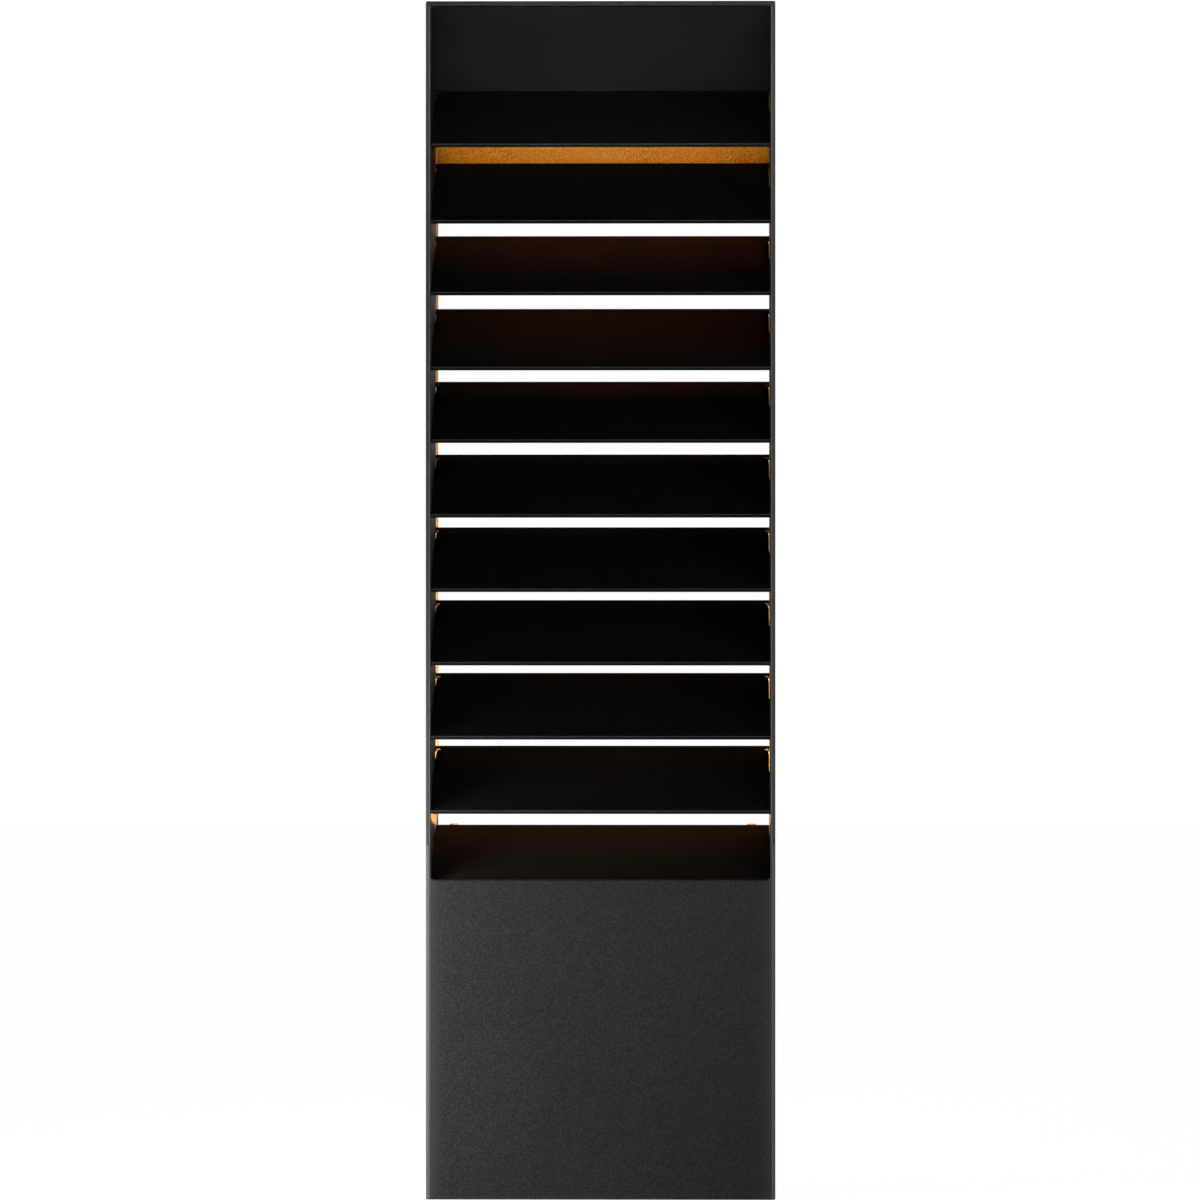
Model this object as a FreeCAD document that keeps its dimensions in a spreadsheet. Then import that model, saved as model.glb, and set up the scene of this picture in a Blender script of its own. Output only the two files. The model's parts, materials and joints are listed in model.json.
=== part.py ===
import FreeCAD, Part
import math
import os
import re
import Sketcher
from FreeCAD import Placement, Rotation, Vector

# Outdoor LED wall light: a folded aluminium case whose upper window holds a stack of
# sloping slats in front of an open light channel, over a closed lower compartment.
# X runs across the light, +Y into the wall and +Z up. The origin is the centre of the
# wall box on the wall plane, so every piece is drawn from the case's bottom edge and
# then lowered by mount_height.

# Driving sizes in millimetres, with counts beside them
sizes = {
    # Case
    "case_width": 177.8,
    "case_height": 609.6,
    "case_depth": 101.6,
    "case_wall": 2.5,
    "case_round": 0.9,
    "window_round": 0.6,
    "corner_round": 2.0,
    "panel_height": 162.6,
    "mount_height": 80.0,
    "side_gap": 0.3,
    "cut_overrun": 1.0,
    # Slats
    "slat_count": 10,
    "slat_gauge": 2.0,
    "top_recess": 72.0,
    "slat_rise": 32.0,
    "run_share": 0.67,
    "slat_setback": 0.8,
    "lowest_gap": 33.2,
    "tab_length": 24.0,
    "tab_drop": 12.5,
    "tab_from_rear": 5.0,
    "stud_drop": 6.8,
    "relief_width": 1.5,
    "bend_round": 1.0,
    # Studs and nuts
    "stud_radius": 2.0,
    "stud_length": 7.5,
    "stud_play": 0.2,
    "bar_sides": 8,
    "nut_across": 7.0,
    "nut_height": 3.2,
    # Top fascia and upper back plate
    "sheet_gauge": 1.5,
    "fascia_gap": 0.4,
    "fascia_setback": 4.0,
    "fascia_flange": 14.0,
    "ear_length": 22.0,
    "ear_depth": 14.0,
    "ear_drop": 20.0,
    "plate_drop": 92.0,
    "plate_setback": 1.0,
    "plate_hem": 8.0,
    # Sill
    "sill_share": 0.53,
    "sill_rise": 27.0,
    "sill_flange": 17.0,
    "sill_rear_flange": 13.0,
    "sill_stud_spread": 110.0,
    # Lamp tray, board and lens
    "tray_share": 0.364,
    "tray_height": 19.0,
    "tray_gauge": 1.6,
    "tray_rim": 6.0,
    "tray_foot": 15.0,
    "tray_end_flange": 16.0,
    "lens_below_sill": 2.5,
    "lens_thickness": 3.0,
    "lens_play": 0.4,
    "gasket_thickness": 1.0,
    "board_inset": 15.4,
    "board_width": 18.0,
    "board_thickness": 1.6,
    "chip_count": 14,
    "chip_length": 3.5,
    "chip_width": 2.8,
    "chip_height": 0.8,
    "connector_overlap": 5.0,
    "connector_overhang": 4.0,
    "connector_width": 8.0,
    "connector_height": 8.0,
    "lens_screw_length": 6.5,
    "lens_screw_inset": 9.0,
    # Lead and glands
    "lead_radius": 1.7,
    "lead_bend": 12.0,
    "lead_exit": 13.0,
    "grommet_radius": 3.6,
    "grommet_flange": 5.4,
    "grommet_lip": 1.4,
    # Driver
    "driver_length": 104.0,
    "driver_height": 40.0,
    "driver_depth": 26.0,
    "driver_round": 2.5,
    "driver_lid": 2.0,
    "driver_screw_inset": 5.0,
    "driver_screw_length": 8.0,
    "driver_ear": 12.0,
    "driver_ear_gauge": 2.5,
    "gland_radius": 4.0,
    "gland_barrel": 3.0,
    "gland_length": 7.0,
    # Wall plate, its gasket and cable grommet
    "wall_gasket": 3.0,
    "gasket_width": 14.0,
    "gasket_margin": 3.0,
    "gasket_inset": 13.0,
    "gasket_window": 35.0,
    "gasket_corner": 4.7,
    "grommet_play": 0.15,
    "plate_gauge": 2.0,
    "plate_height": 140.0,
    "plate_lift": 3.0,
    "plate_flange": 16.0,
    "box_spacing": 88.9,
    "box_slot_radius": 2.5,
    "box_slot_length": 13.0,
    "cable_hole": 11.0,
    "cable_bore": 7.0,
    "cable_flange": 14.0,
    "cable_lip": 2.0,
    # Screws
    "lock_radius": 2.0,
    "lock_play": 0.25,
    "lock_head": 3.9,
    "lock_length": 8.0,
    "lock_height": 80.0,
    "lock_inset": 12.0,
    "ground_offset": 24.0,
    "ground_radius": 2.0,
    "ground_head": 4.2,
    "ground_length": 4.5,
    "ground_head_height": 2.6,
    "ground_washer": 5.0,
    "washer_thickness": 0.8,
    "socket_across": 2.5,
    "socket_depth": 1.3,
    "screw_head": 2.8,
    "head_height": 1.8,
    "screw_radius": 1.5,
    "thread_play": 0.05,
}

doc = FreeCAD.newDocument("WallLight")
sheet = doc.addObject("Spreadsheet::Sheet", "Sizes")
for row, (alias, value) in enumerate(sizes.items(), 1):
    sheet.set(f"A{row}", alias)
    sheet.set(f"B{row}", str(value))
    sheet.setAlias(f"B{row}", alias)
doc.recompute()

# Places that several pieces share, as formulas on the sheet's names
innerHalf = "(case_width / 2 - case_wall)"
frontInside = "(case_wall - case_depth)"
noseLow = "(panel_height + lowest_gap)"
slatRun = "(case_depth * run_share)"
slatLength = f"(sqrt({slatRun} ^ 2 + slat_rise ^ 2))"
slatSlope = f"(atan(slat_rise / {slatRun}))"
slatRearY = f"(slat_setback + {slatRun} - case_depth)"
topInside = "(case_height - case_wall)"
topNose = f"({topInside} - top_recess)"
slatPitch = f"(({topNose} - {noseLow}) / (slat_count - 1))"
sillTop = "(panel_height + sill_rise)"
sillDepth = "(case_depth * sill_share)"
sillRearY = f"({frontInside} + side_gap + {sillDepth})"
lensTop = f"({sillTop} - lens_below_sill)"
trayRimZ = f"({lensTop} - lens_thickness - gasket_thickness)"
trayFloorZ = f"({trayRimZ} - tray_height)"
trayFrontY = f"({sillRearY} + sheet_gauge + side_gap)"
trayDepth = "(case_depth * tray_share)"
trayMidY = f"({trayFrontY} + {trayDepth} / 2)"
boardTop = f"({trayFloorZ} + tray_gauge + board_thickness)"
plateBackY = "(-wall_gasket)"
plateFrontY = "(-wall_gasket - plate_gauge)"
flangeHalf = f"({innerHalf} - side_gap)"
boardLength = f"(2 * ({innerHalf} - board_inset))"
grommetX = f"({boardLength} / 2 + grommet_flange + lens_play)"
lensScrewX = f"({flangeHalf} - lens_screw_inset)"
driverFrontY = f"({frontInside} + side_gap)"
driverLidY = f"({driverFrontY} + driver_depth - driver_lid)"
driverScrewX = "(driver_length / 2 - driver_screw_inset)"

subParts = []


def formula(text):
    """Write the sheet's name before each alias in a formula."""
    words = re.compile(r"[a-z]+(_[a-z]+)+")
    return words.sub(lambda found: "Sizes." + found[0], str(text))


def number(text):
    """Work out a formula with the sheet's present values."""
    result = sheet.evalExpression(formula(text))
    return float(getattr(result, "Value", result))


def bind(target, **settings):
    """Bind properties, whose dots are written as double underscores, to formulas."""
    for name, text in settings.items():
        target.setExpression(name.replace("__", "."), formula(text))


def register(piece, label):
    """Name a finished sub-part and stand it on the case's bottom edge."""
    piece.Label = label
    subParts.append(piece)
    return piece


def newBody(label, x="0", y="0", z="0"):
    """Start a sub-part whose own origin lies at a place on the case."""
    body = doc.addObject("PartDesign::Body", label + "_body")
    bind(body, Placement__Base__x=x, Placement__Base__y=y, Placement__Base__z=f"{z} - mount_height")
    return register(body, label)


def newSketch(body, name, role, offset=None):
    """Put an empty sketch on one of the body's own origin planes."""
    sketch = body.newObject("Sketcher::SketchObject", name)
    plane = next(item for item in body.Origin.OriginFeatures if item.Role == role)
    sketch.AttachmentSupport = [(plane, "")]
    sketch.MapMode = "FlatFace"
    if offset is not None:
        sketch.setExpression("AttachmentOffset.Base.z", formula(offset))
    return sketch


def pinPoint(sketch, item, end, place):
    """Hold one point of a sketch at a place given by two formulas."""
    for kind, text in zip(("DistanceX", "DistanceY"), place):
        index = sketch.addConstraint(Sketcher.Constraint(kind, -1, 1, item, end, number(text)))
        sketch.setExpression(f"Constraints[{index}]", formula(text))


def drawOutline(sketch, corners):
    """Draw a closed outline of straight lines through corners given as formulas."""
    places = [Vector(number(x), number(y), 0) for x, y in corners]
    first = len(sketch.Geometry)
    count = len(corners)
    for index in range(count):
        line = Part.LineSegment(places[index], places[(index + 1) % count])
        sketch.addGeometry(line, False)
    for index in range(count):
        after = first + (index + 1) % count
        sketch.addConstraint(Sketcher.Constraint("Coincident", first + index, 2, after, 1))
    for index, corner in enumerate(corners):
        pinPoint(sketch, first + index, 1, corner)


def drawCircle(sketch, centre, radius):
    """Draw a circle whose centre and radius are formulas."""
    place = Vector(number(centre[0]), number(centre[1]), 0)
    item = sketch.addGeometry(Part.Circle(place, Vector(0, 0, 1), number(radius)), False)
    pinPoint(sketch, item, 3, centre)
    index = sketch.addConstraint(Sketcher.Constraint("Radius", item, number(radius)))
    sketch.setExpression(f"Constraints[{index}]", formula(radius))


def rectangle(x0, x1, y0, y1):
    """Give a rectangle's four corners."""
    return [(x0, y0), (x1, y0), (x1, y1), (x0, y1)]


def pad(body, name, sketch, length, midplane=False, reverse=False):
    """Thicken a sketch into the body."""
    feature = body.newObject("PartDesign::Pad", name)
    feature.Profile = sketch
    feature.Midplane = midplane
    feature.Reversed = reverse
    bind(feature, Length=length)
    doc.recompute()
    return feature


def pocket(body, name, sketch, length=None, reverse=False):
    """Cut a sketch out of the body, to a depth or right through on both sides."""
    before = body.Shape.Volume
    feature = body.newObject("PartDesign::Pocket", name)
    feature.Profile = sketch
    if length is None:
        feature.Type = "ThroughAll"
        feature.Midplane = True
    else:
        feature.Reversed = reverse
        bind(feature, Length=length)
    doc.recompute()
    if body.Shape.Volume >= before:
        raise RuntimeError(f"{body.Label}: {name} cuts nothing")
    return feature


def mirror(body, name, features, role="YZ_Plane"):
    """Repeat features on the other side of one of the body's origin planes."""
    feature = body.newObject("PartDesign::Mirrored", name)
    feature.Originals = features
    plane = next(item for item in body.Origin.OriginFeatures if item.Role == role)
    feature.MirrorPlane = (plane, [""])
    body.Tip = feature
    doc.recompute()
    return feature


def fillet(body, name, radius, chosen):
    """Round the edges of the body that the test picks."""
    base = body.Tip
    edges = base.Shape.Edges
    names = [f"Edge{index}" for index, edge in enumerate(edges, 1) if chosen(edge)]
    if not names:
        raise RuntimeError(f"{body.Label}: {name} found no edge")
    feature = body.newObject("PartDesign::Fillet", name)
    feature.Base = (base, names)
    bind(feature, Radius=radius)
    doc.recompute()
    return feature


def near(value, text):
    """Compare a measured length with a formula."""
    return abs(value - number(text)) < 1e-4


def straightAlong(edge, axis):
    """Tell whether an edge is straight and runs along one axis, 0 for X to 2 for Z."""
    if len(edge.Vertexes) < 2:
        return False
    span = edge.Vertexes[1].Point - edge.Vertexes[0].Point
    return abs(abs(span[axis]) - edge.Length) < 1e-6


def makeHousing():
    """Case: four walls and the lower front panel, open at the back and in the window."""
    body = newBody("housing")
    outline = newSketch(body, "Case_outline", "XZ_Plane")
    drawOutline(outline, rectangle("-case_width / 2", "case_width / 2", "0", "case_height"))
    pad(body, "Case_block", outline, "case_depth")
    inside = rectangle(f"-{innerHalf}", innerHalf, "case_wall", topInside)
    hollow = newSketch(body, "Case_hollow", "XZ_Plane")
    drawOutline(hollow, inside)
    pocket(body, "Hollow", hollow, "case_depth - case_wall", reverse=True)
    window = newSketch(body, "Window_outline", "XZ_Plane", "case_depth + cut_overrun")
    drawOutline(window, rectangle(f"-{innerHalf}", innerHalf, "panel_height", topInside))
    pocket(body, "Window", window, "case_wall + 2 * cut_overrun")

    def outerEdge(edge):
        middle = edge.CenterOfMass
        onSide = near(abs(middle.x), "case_width / 2")
        onEnd = near(middle.z, "case_height") or near(middle.z, "0")
        onFront = near(middle.y, "-case_depth")
        return (onFront and (onSide or onEnd)) or (onSide and onEnd)

    def windowCorner(edge):
        middle = edge.CenterOfMass
        return straightAlong(edge, 1) and near(middle.z, "panel_height")

    def windowEdge(edge):
        middle = edge.CenterOfMass
        high = middle.z > number("panel_height - cut_overrun")
        inward = abs(middle.x) < number("case_width / 2 - case_round")
        low = middle.z < number("case_height - case_round")
        return near(middle.y, "-case_depth") and high and inward and low

    fillet(body, "Outer_edges", "case_round", outerEdge)
    fillet(body, "Window_corners", "corner_round", windowCorner)
    fillet(body, "Window_edges", "window_round", windowEdge)
    holes = newSketch(body, "Lock_holes", "YZ_Plane")
    drawCircle(holes, ("-lock_inset", "lock_height"), "lock_radius + lock_play")
    pocket(body, "Lock_clearance", holes)
    for side, name in ((1, "Right_sinks"), (-1, "Left_sinks")):
        sinks = newSketch(body, name, "YZ_Plane", f"{side} * case_width / 2")
        drawCircle(sinks, ("-lock_inset", "lock_height"), "lock_head")
        cut = pocket(body, name + "_cut", sinks, "lock_head - lock_radius - lock_play", side < 0)
        cut.TaperAngle = -45
        doc.recompute()
    return body


def makeSlat(index):
    """Slat: a sheet with a round nose, sloping up to the back, with an ear at each end."""
    tabRear = f"({slatLength} - tab_from_rear)"
    tabFront = f"({tabRear} - tab_length)"
    body = newBody(f"slat_{index + 1:02d}")
    bind(
        body,
        Placement__Rotation__Angle=slatSlope,
        Placement__Base__y="slat_setback - case_depth",
        Placement__Base__z=f"{topNose} - {index} * {slatPitch} - mount_height",
    )
    body.Placement = Placement(body.Placement.Base, Rotation(Vector(1, 0, 0), number(slatSlope)))
    web = newSketch(body, "Web_profile", "YZ_Plane")
    corners = [("slat_gauge / 2", "0"), (slatLength, "0"), (slatLength, "slat_gauge")]
    corners.append(("slat_gauge / 2", "slat_gauge"))
    places = [Vector(number(x), number(y), 0) for x, y in corners]
    for start, end in zip(places, places[1:]):
        web.addGeometry(Part.LineSegment(start, end), False)
    web.addGeometry(Part.Arc(places[3], Vector(0, places[3].x, 0), places[0]), False)
    for item, after in ((0, 1), (1, 2)):
        web.addConstraint(Sketcher.Constraint("Coincident", item, 2, after, 1))
    nose = web.Geometry[3]
    startEnd = 1 if nose.StartPoint.isEqual(places[3], 1e-6) else 2
    web.addConstraint(Sketcher.Constraint("Coincident", 2, 2, 3, startEnd))
    web.addConstraint(Sketcher.Constraint("Coincident", 0, 1, 3, 3 - startEnd))
    for item, corner in enumerate(corners[:3]):
        pinPoint(web, item, 1, corner)
    pinPoint(web, 2, 2, corners[3])
    middle = web.addConstraint(
        Sketcher.Constraint("DistanceX", -1, 1, 3, 3, number("slat_gauge / 2"))
    )
    web.setExpression(f"Constraints[{middle}]", formula("slat_gauge / 2"))
    pad(body, "Web", web, f"2 * {flangeHalf}", midplane=True)

    ear = newSketch(body, "Ear_profile", "YZ_Plane", f"{flangeHalf} - slat_gauge")
    slotHalf = "(stud_radius + stud_play)"
    slotFront = f"({tabFront} + tab_length / 2 - {slotHalf})"
    slotRear = f"({tabFront} + tab_length / 2 + {slotHalf})"
    slotTop = f"({slotHalf} - stud_drop)"
    corners = [(tabFront, "slat_gauge"), (tabFront, "-tab_drop"), (slotFront, "-tab_drop")]
    corners += [(slotFront, slotTop), (slotRear, slotTop), (slotRear, "-tab_drop")]
    corners += [(tabRear, "-tab_drop"), (tabRear, "slat_gauge")]
    drawOutline(ear, corners)
    right = pad(body, "Ear", ear, "slat_gauge")
    slots = newSketch(body, "Relief_slots", "XY_Plane")
    inner = f"({flangeHalf} - slat_gauge - bend_round)"
    outer = f"({flangeHalf} + cut_overrun)"
    drawOutline(slots, rectangle(inner, outer, f"{tabFront} - relief_width", tabFront))
    drawOutline(slots, rectangle(inner, outer, tabRear, f"{tabRear} + relief_width"))
    relief = pocket(body, "Relief", slots)
    mirror(body, "Left_end", [right, relief])

    def bendOutside(edge):
        middle = edge.CenterOfMass
        onEar = near(middle.y, f"{tabFront} + tab_length / 2")
        outer = near(abs(middle.x), flangeHalf) and near(middle.z, "slat_gauge")
        return straightAlong(edge, 1) and onEar and outer

    fillet(body, "Bend_outside", "bend_round", bendOutside)
    return body


def studPlaces():
    """List every weld stud: the wall it stands on, its place there and its sheet's gauge."""
    along = f"({slatLength} - tab_from_rear - tab_length / 2)"
    run = f"({along} * cos({slatSlope}) + stud_drop * sin({slatSlope}))"
    rise = f"({along} * sin({slatSlope}) - stud_drop * cos({slatSlope}))"
    places = []
    for side in (1, -1):
        for index in range(int(sizes["slat_count"])):
            z = f"({topNose} - {index} * {slatPitch} + {rise})"
            places.append((side, f"({run} + slat_setback - case_depth)", z, "slat_gauge"))
        fasciaY = f"({slatRearY} + fascia_gap + sheet_gauge + ear_depth / 2)"
        places.append((side, fasciaY, f"({topInside} - ear_drop)", "sheet_gauge"))
        plateY = "(-plate_setback - sheet_gauge - ear_depth / 2)"
        places.append((side, plateY, f"({topInside} - plate_drop / 2)", "sheet_gauge"))
        places.append((side, trayMidY, f"({trayFloorZ} - tray_foot / 2)", "tray_gauge"))
    for turn in (1, -1):
        sillX = f"({turn} * sill_stud_spread / 2)"
        places.append((0, sillX, "(panel_height - sill_flange / 2)", "sheet_gauge"))
        earX = f"({turn} * (driver_length / 2 + driver_ear / 2))"
        places.append((0, earX, "mount_height", "driver_ear_gauge"))
    return places


def makeStuds():
    """Weld studs on the case's inner faces as eight-sided bars, and a hexagon nut for each."""
    studs = []
    nuts = []
    for index, (side, across, z, gauge) in enumerate(studPlaces()):
        stud = doc.addObject("Part::Prism", f"Stud_{index}")
        bind(stud, Circumradius="stud_radius", Height="stud_length")
        prism = doc.addObject("Part::Prism", f"Nut_blank_{index}")
        prism.Polygon = 6
        bind(prism, Circumradius="nut_across / sqrt(3)", Height="nut_height")
        bore = doc.addObject("Part::Prism", f"Nut_bore_{index}")
        bind(bore, Circumradius="stud_radius + thread_play", Height="nut_height")
        for bar in (stud, bore):
            bar.Polygon = int(sizes["bar_sides"])
        seat = f"(side_gap + {gauge})"
        for piece in (stud, prism, bore):
            away = "0" if piece is stud else seat
            if side:
                turn = Rotation(Vector(0, 1, 0), -90 * side)
                x, y = f"{side} * ({innerHalf} - {away})", across
            else:
                turn = Rotation(Vector(1, 0, 0), -90)
                x, y = across, f"({frontInside} + {away})"
            piece.Placement = Placement(Vector(), turn)
            bind(
                piece,
                Placement__Base__x=x,
                Placement__Base__y=y,
                Placement__Base__z=f"{z} - mount_height",
            )
        nut = doc.addObject("Part::Cut", f"Nut_{index}")
        nut.Base = prism
        nut.Tool = bore
        studs.append(stud)
        nuts.append(nut)
    for label, pieces in (("housing_studs", studs), ("housing_nuts", nuts)):
        group = doc.addObject("Part::Compound", label + "_group")
        group.Links = pieces
        register(group, label)


def makeFoldedEars(body, root, tip, centre):
    """Bend an ear at each end of an upright sheet, with a slot open at its tip for the stud."""
    low = f"({centre} - ear_length / 2)"
    high = f"({centre} + ear_length / 2)"
    way = 1 if number(f"{tip} - {root}") > 0 else -1
    slotEnd = f"({tip} - {way} * (ear_depth / 2 + stud_radius + stud_play))"
    slotLow = f"({centre} - stud_radius - stud_play)"
    slotHigh = f"({centre} + stud_radius + stud_play)"
    ear = newSketch(body, "Ear_outline", "YZ_Plane", f"{flangeHalf} - sheet_gauge")
    corners = [(root, low), (tip, low), (tip, slotLow), (slotEnd, slotLow)]
    corners += [(slotEnd, slotHigh), (tip, slotHigh), (tip, high), (root, high)]
    drawOutline(ear, corners)
    right = pad(body, "Ear", ear, "sheet_gauge")
    mirror(body, "Left_ear", [right])


def makeTopFascia():
    """Fascia: a sheet that slopes from the case's front top down to the top slat's rear edge,
    folded back up there into an upright leg with a flange under the case's top."""
    body = newBody("top_fascia")
    front = f"({slatRearY} + fascia_gap)"
    back = f"({front} + sheet_gauge)"
    top = f"({topInside} - side_gap)"
    low = f"({topNose} + slat_rise + slat_gauge * cos({slatSlope}))"
    flangeRear = f"({front} + fascia_flange)"
    tip = "(fascia_setback - case_depth)"
    slope = f"(atan(({top} - sheet_gauge - {low}) / ({front} - {tip})))"
    upright = f"(sheet_gauge / cos({slope}))"
    profile = newSketch(body, "Fascia_profile", "YZ_Plane")
    corners = [(front, low), (back, f"{low} - sheet_gauge * tan({slope})")]
    corners += [(back, f"{top} - sheet_gauge"), (flangeRear, f"{top} - sheet_gauge")]
    corners += [(flangeRear, top), (front, top), (front, f"{low} + {upright}"), (tip, top)]
    corners.append((tip, f"{top} - {upright}"))
    drawOutline(profile, corners)
    pad(body, "Fascia_sheet", profile, f"2 * {flangeHalf}", midplane=True)

    def foldOutside(edge):
        middle = edge.CenterOfMass
        return straightAlong(edge, 0) and near(middle.y, front) and near(middle.z, top)

    fillet(body, "Fold_outside", "sheet_gauge", foldOutside)
    makeFoldedEars(body, front, f"({back} + ear_depth)", f"({topInside} - ear_drop)")
    return body


def makeUpperBackPlate():
    """Upper back plate: the sheet that closes the top of the light channel at the wall."""
    body = newBody("upper_back_plate")
    rear = "(-plate_setback)"
    front = f"({rear} - sheet_gauge)"
    top = f"({topInside} - side_gap)"
    low = f"({topInside} - plate_drop)"
    hem = f"({rear} - plate_hem)"
    profile = newSketch(body, "Plate_profile", "YZ_Plane")
    corners = [(rear, low), (rear, top), (front, top), (front, f"{low} + sheet_gauge")]
    corners += [(hem, f"{low} + sheet_gauge"), (hem, low)]
    drawOutline(profile, corners)
    pad(body, "Plate_sheet", profile, f"2 * {flangeHalf}", midplane=True)

    def hemFold(edge):
        middle = edge.CenterOfMass
        return straightAlong(edge, 0) and near(middle.y, rear) and near(middle.z, low)

    fillet(body, "Hem_fold", "sheet_gauge", hemFold)
    makeFoldedEars(body, rear, f"({front} - ear_depth)", f"({topInside} - plate_drop / 2)")
    return body


def makeSillPlate():
    """Sill: a sloping sheet behind the front panel's top edge, flanged down at both sides."""
    body = newBody("sill_plate")
    front = f"({frontInside} + side_gap)"
    slope = f"(atan(sill_rise / {sillDepth}))"
    underFront = f"(panel_height + sheet_gauge * tan({slope}) - sheet_gauge / cos({slope}))"
    underRear = f"({sillTop} - sheet_gauge * tan({slope}) - sheet_gauge / cos({slope}))"
    inFront = f"({front} + sheet_gauge)"
    inRear = f"({sillRearY} - sheet_gauge)"
    low = "(panel_height - sill_flange)"
    rearLow = f"({sillTop} - sill_rear_flange)"
    profile = newSketch(body, "Sill_profile", "YZ_Plane")
    corners = [(front, low), (inFront, low), (inFront, underFront), (inRear, underRear)]
    corners += [(inRear, rearLow), (sillRearY, rearLow), (sillRearY, sillTop)]
    corners += [(front, "panel_height")]
    drawOutline(profile, corners)
    pad(body, "Sill_sheet", profile, f"2 * {flangeHalf}", midplane=True)
    slots = newSketch(body, "Flange_slots", "XZ_Plane")
    slotTop = "(panel_height - sill_flange / 2 + stud_radius + stud_play)"
    for side in (1, -1):
        middle = f"({side} * sill_stud_spread / 2)"
        left, right = f"{middle} - stud_radius - stud_play", f"{middle} + stud_radius + stud_play"
        drawOutline(slots, rectangle(left, right, f"{low} - cut_overrun", slotTop))
    pocket(body, "Stud_slots", slots)

    def rearFold(edge):
        middle = edge.CenterOfMass
        return straightAlong(edge, 0) and near(middle.y, sillRearY) and near(middle.z, sillTop)

    fillet(body, "Rear_fold", "bend_round", rearFold)
    return body


def makeLampTray():
    """Lamp tray: a channel with rims and end flanges for the lens and a foot at each end."""
    body = newBody("lamp_tray")
    rear = f"({trayFrontY} + {trayDepth})"
    profile = newSketch(body, "Tray_profile", "YZ_Plane")
    rimUnder = f"({trayRimZ} - tray_gauge)"
    floorTop = f"({trayFloorZ} + tray_gauge)"
    inFront, inRear = f"({trayFrontY} + tray_gauge)", f"({rear} - tray_gauge)"
    rimFront, rimRear = f"({inFront} + tray_rim)", f"({inRear} - tray_rim)"
    corners = [(trayFrontY, trayFloorZ), (rear, trayFloorZ), (rear, trayRimZ), (rimRear, trayRimZ)]
    corners += [(rimRear, rimUnder), (inRear, rimUnder), (inRear, floorTop), (inFront, floorTop)]
    corners += [(inFront, rimUnder), (rimFront, rimUnder), (rimFront, trayRimZ)]
    corners += [(trayFrontY, trayRimZ)]
    drawOutline(profile, corners)
    pad(body, "Tray_channel", profile, f"2 * {flangeHalf}", midplane=True)
    end = newSketch(body, "End_outline", "YZ_Plane", f"{flangeHalf} - tray_gauge")
    foot = f"({trayFloorZ} - tray_foot)"
    slotTop = f"({trayFloorZ} - tray_foot / 2 + stud_radius + stud_play)"
    slotFront = f"({trayMidY} - stud_radius - stud_play)"
    slotRear = f"({trayMidY} + stud_radius + stud_play)"
    corners = [(trayFrontY, trayRimZ), (trayFrontY, foot), (slotFront, foot), (slotFront, slotTop)]
    corners += [(slotRear, slotTop), (slotRear, foot), (rear, foot), (rear, trayRimZ)]
    drawOutline(end, corners)
    right = pad(body, "End_plate", end, "tray_gauge")
    flange = newSketch(body, "End_flange_outline", "XY_Plane", rimUnder)
    inner = f"({flangeHalf} - tray_end_flange)"
    drawOutline(flange, rectangle(inner, flangeHalf, trayFrontY, rear))
    shelf = pad(body, "End_flange", flange, "tray_gauge")
    mirror(body, "Left_end", [right, shelf])
    threads = newSketch(body, "Lens_screw_places", "XY_Plane", f"{trayRimZ} + cut_overrun")
    for x in (lensScrewX, f"-{lensScrewX}"):
        drawCircle(threads, (x, trayMidY), "screw_radius + thread_play")
    pocket(body, "Lens_threads", threads, "tray_gauge + 2 * cut_overrun")
    passage = newSketch(body, "Lead_hole_place", "XY_Plane", f"{floorTop} + cut_overrun")
    drawCircle(passage, (grommetX, trayMidY), "grommet_radius")
    pocket(body, "Lead_hole", passage, "tray_gauge + 2 * cut_overrun")
    return body


def makeBoard():
    """LED board on the tray's floor."""
    board = doc.addObject("Part::Box", "Board")
    bind(
        board,
        Length=boardLength,
        Width="board_width",
        Height="board_thickness",
        Placement__Base__x=f"-{boardLength} / 2",
        Placement__Base__y=f"{trayMidY} - board_width / 2",
        Placement__Base__z=f"{trayFloorZ} + tray_gauge - mount_height",
    )
    return register(board, "led_board")


def makeChips():
    """A row of LED chips along the board, clear of the connector at its end."""
    pitch = f"(({boardLength} - 2 * connector_overlap) / chip_count)"
    chips = []
    for index in range(int(sizes["chip_count"])):
        chip = doc.addObject("Part::Box", f"Chip_{index}")
        middle = f"({pitch} * ({index} + 1 / 2) - {boardLength} / 2)"
        bind(
            chip,
            Length="chip_length",
            Width="chip_width",
            Height="chip_height",
            Placement__Base__x=f"{middle} - chip_length / 2",
            Placement__Base__y=f"{trayMidY} - chip_width / 2",
            Placement__Base__z=f"{boardTop} - mount_height",
        )
        chips.append(chip)
    group = doc.addObject("Part::Compound", "Chips")
    group.Links = chips
    return register(group, "led_chips")


def makeConnector():
    """Board connector that reaches past the board's end and takes the lead from below."""
    block = doc.addObject("Part::Box", "Connector_block")
    rear = f"({grommetX} + connector_overhang)"
    bind(
        block,
        Length=f"{rear} - {boardLength} / 2 + connector_overlap",
        Width="connector_width",
        Height="connector_height",
        Placement__Base__x=f"{boardLength} / 2 - connector_overlap",
        Placement__Base__y=f"{trayMidY} - connector_width / 2",
        Placement__Base__z=f"{boardTop} - mount_height",
    )
    return register(block, "led_connector")


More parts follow.
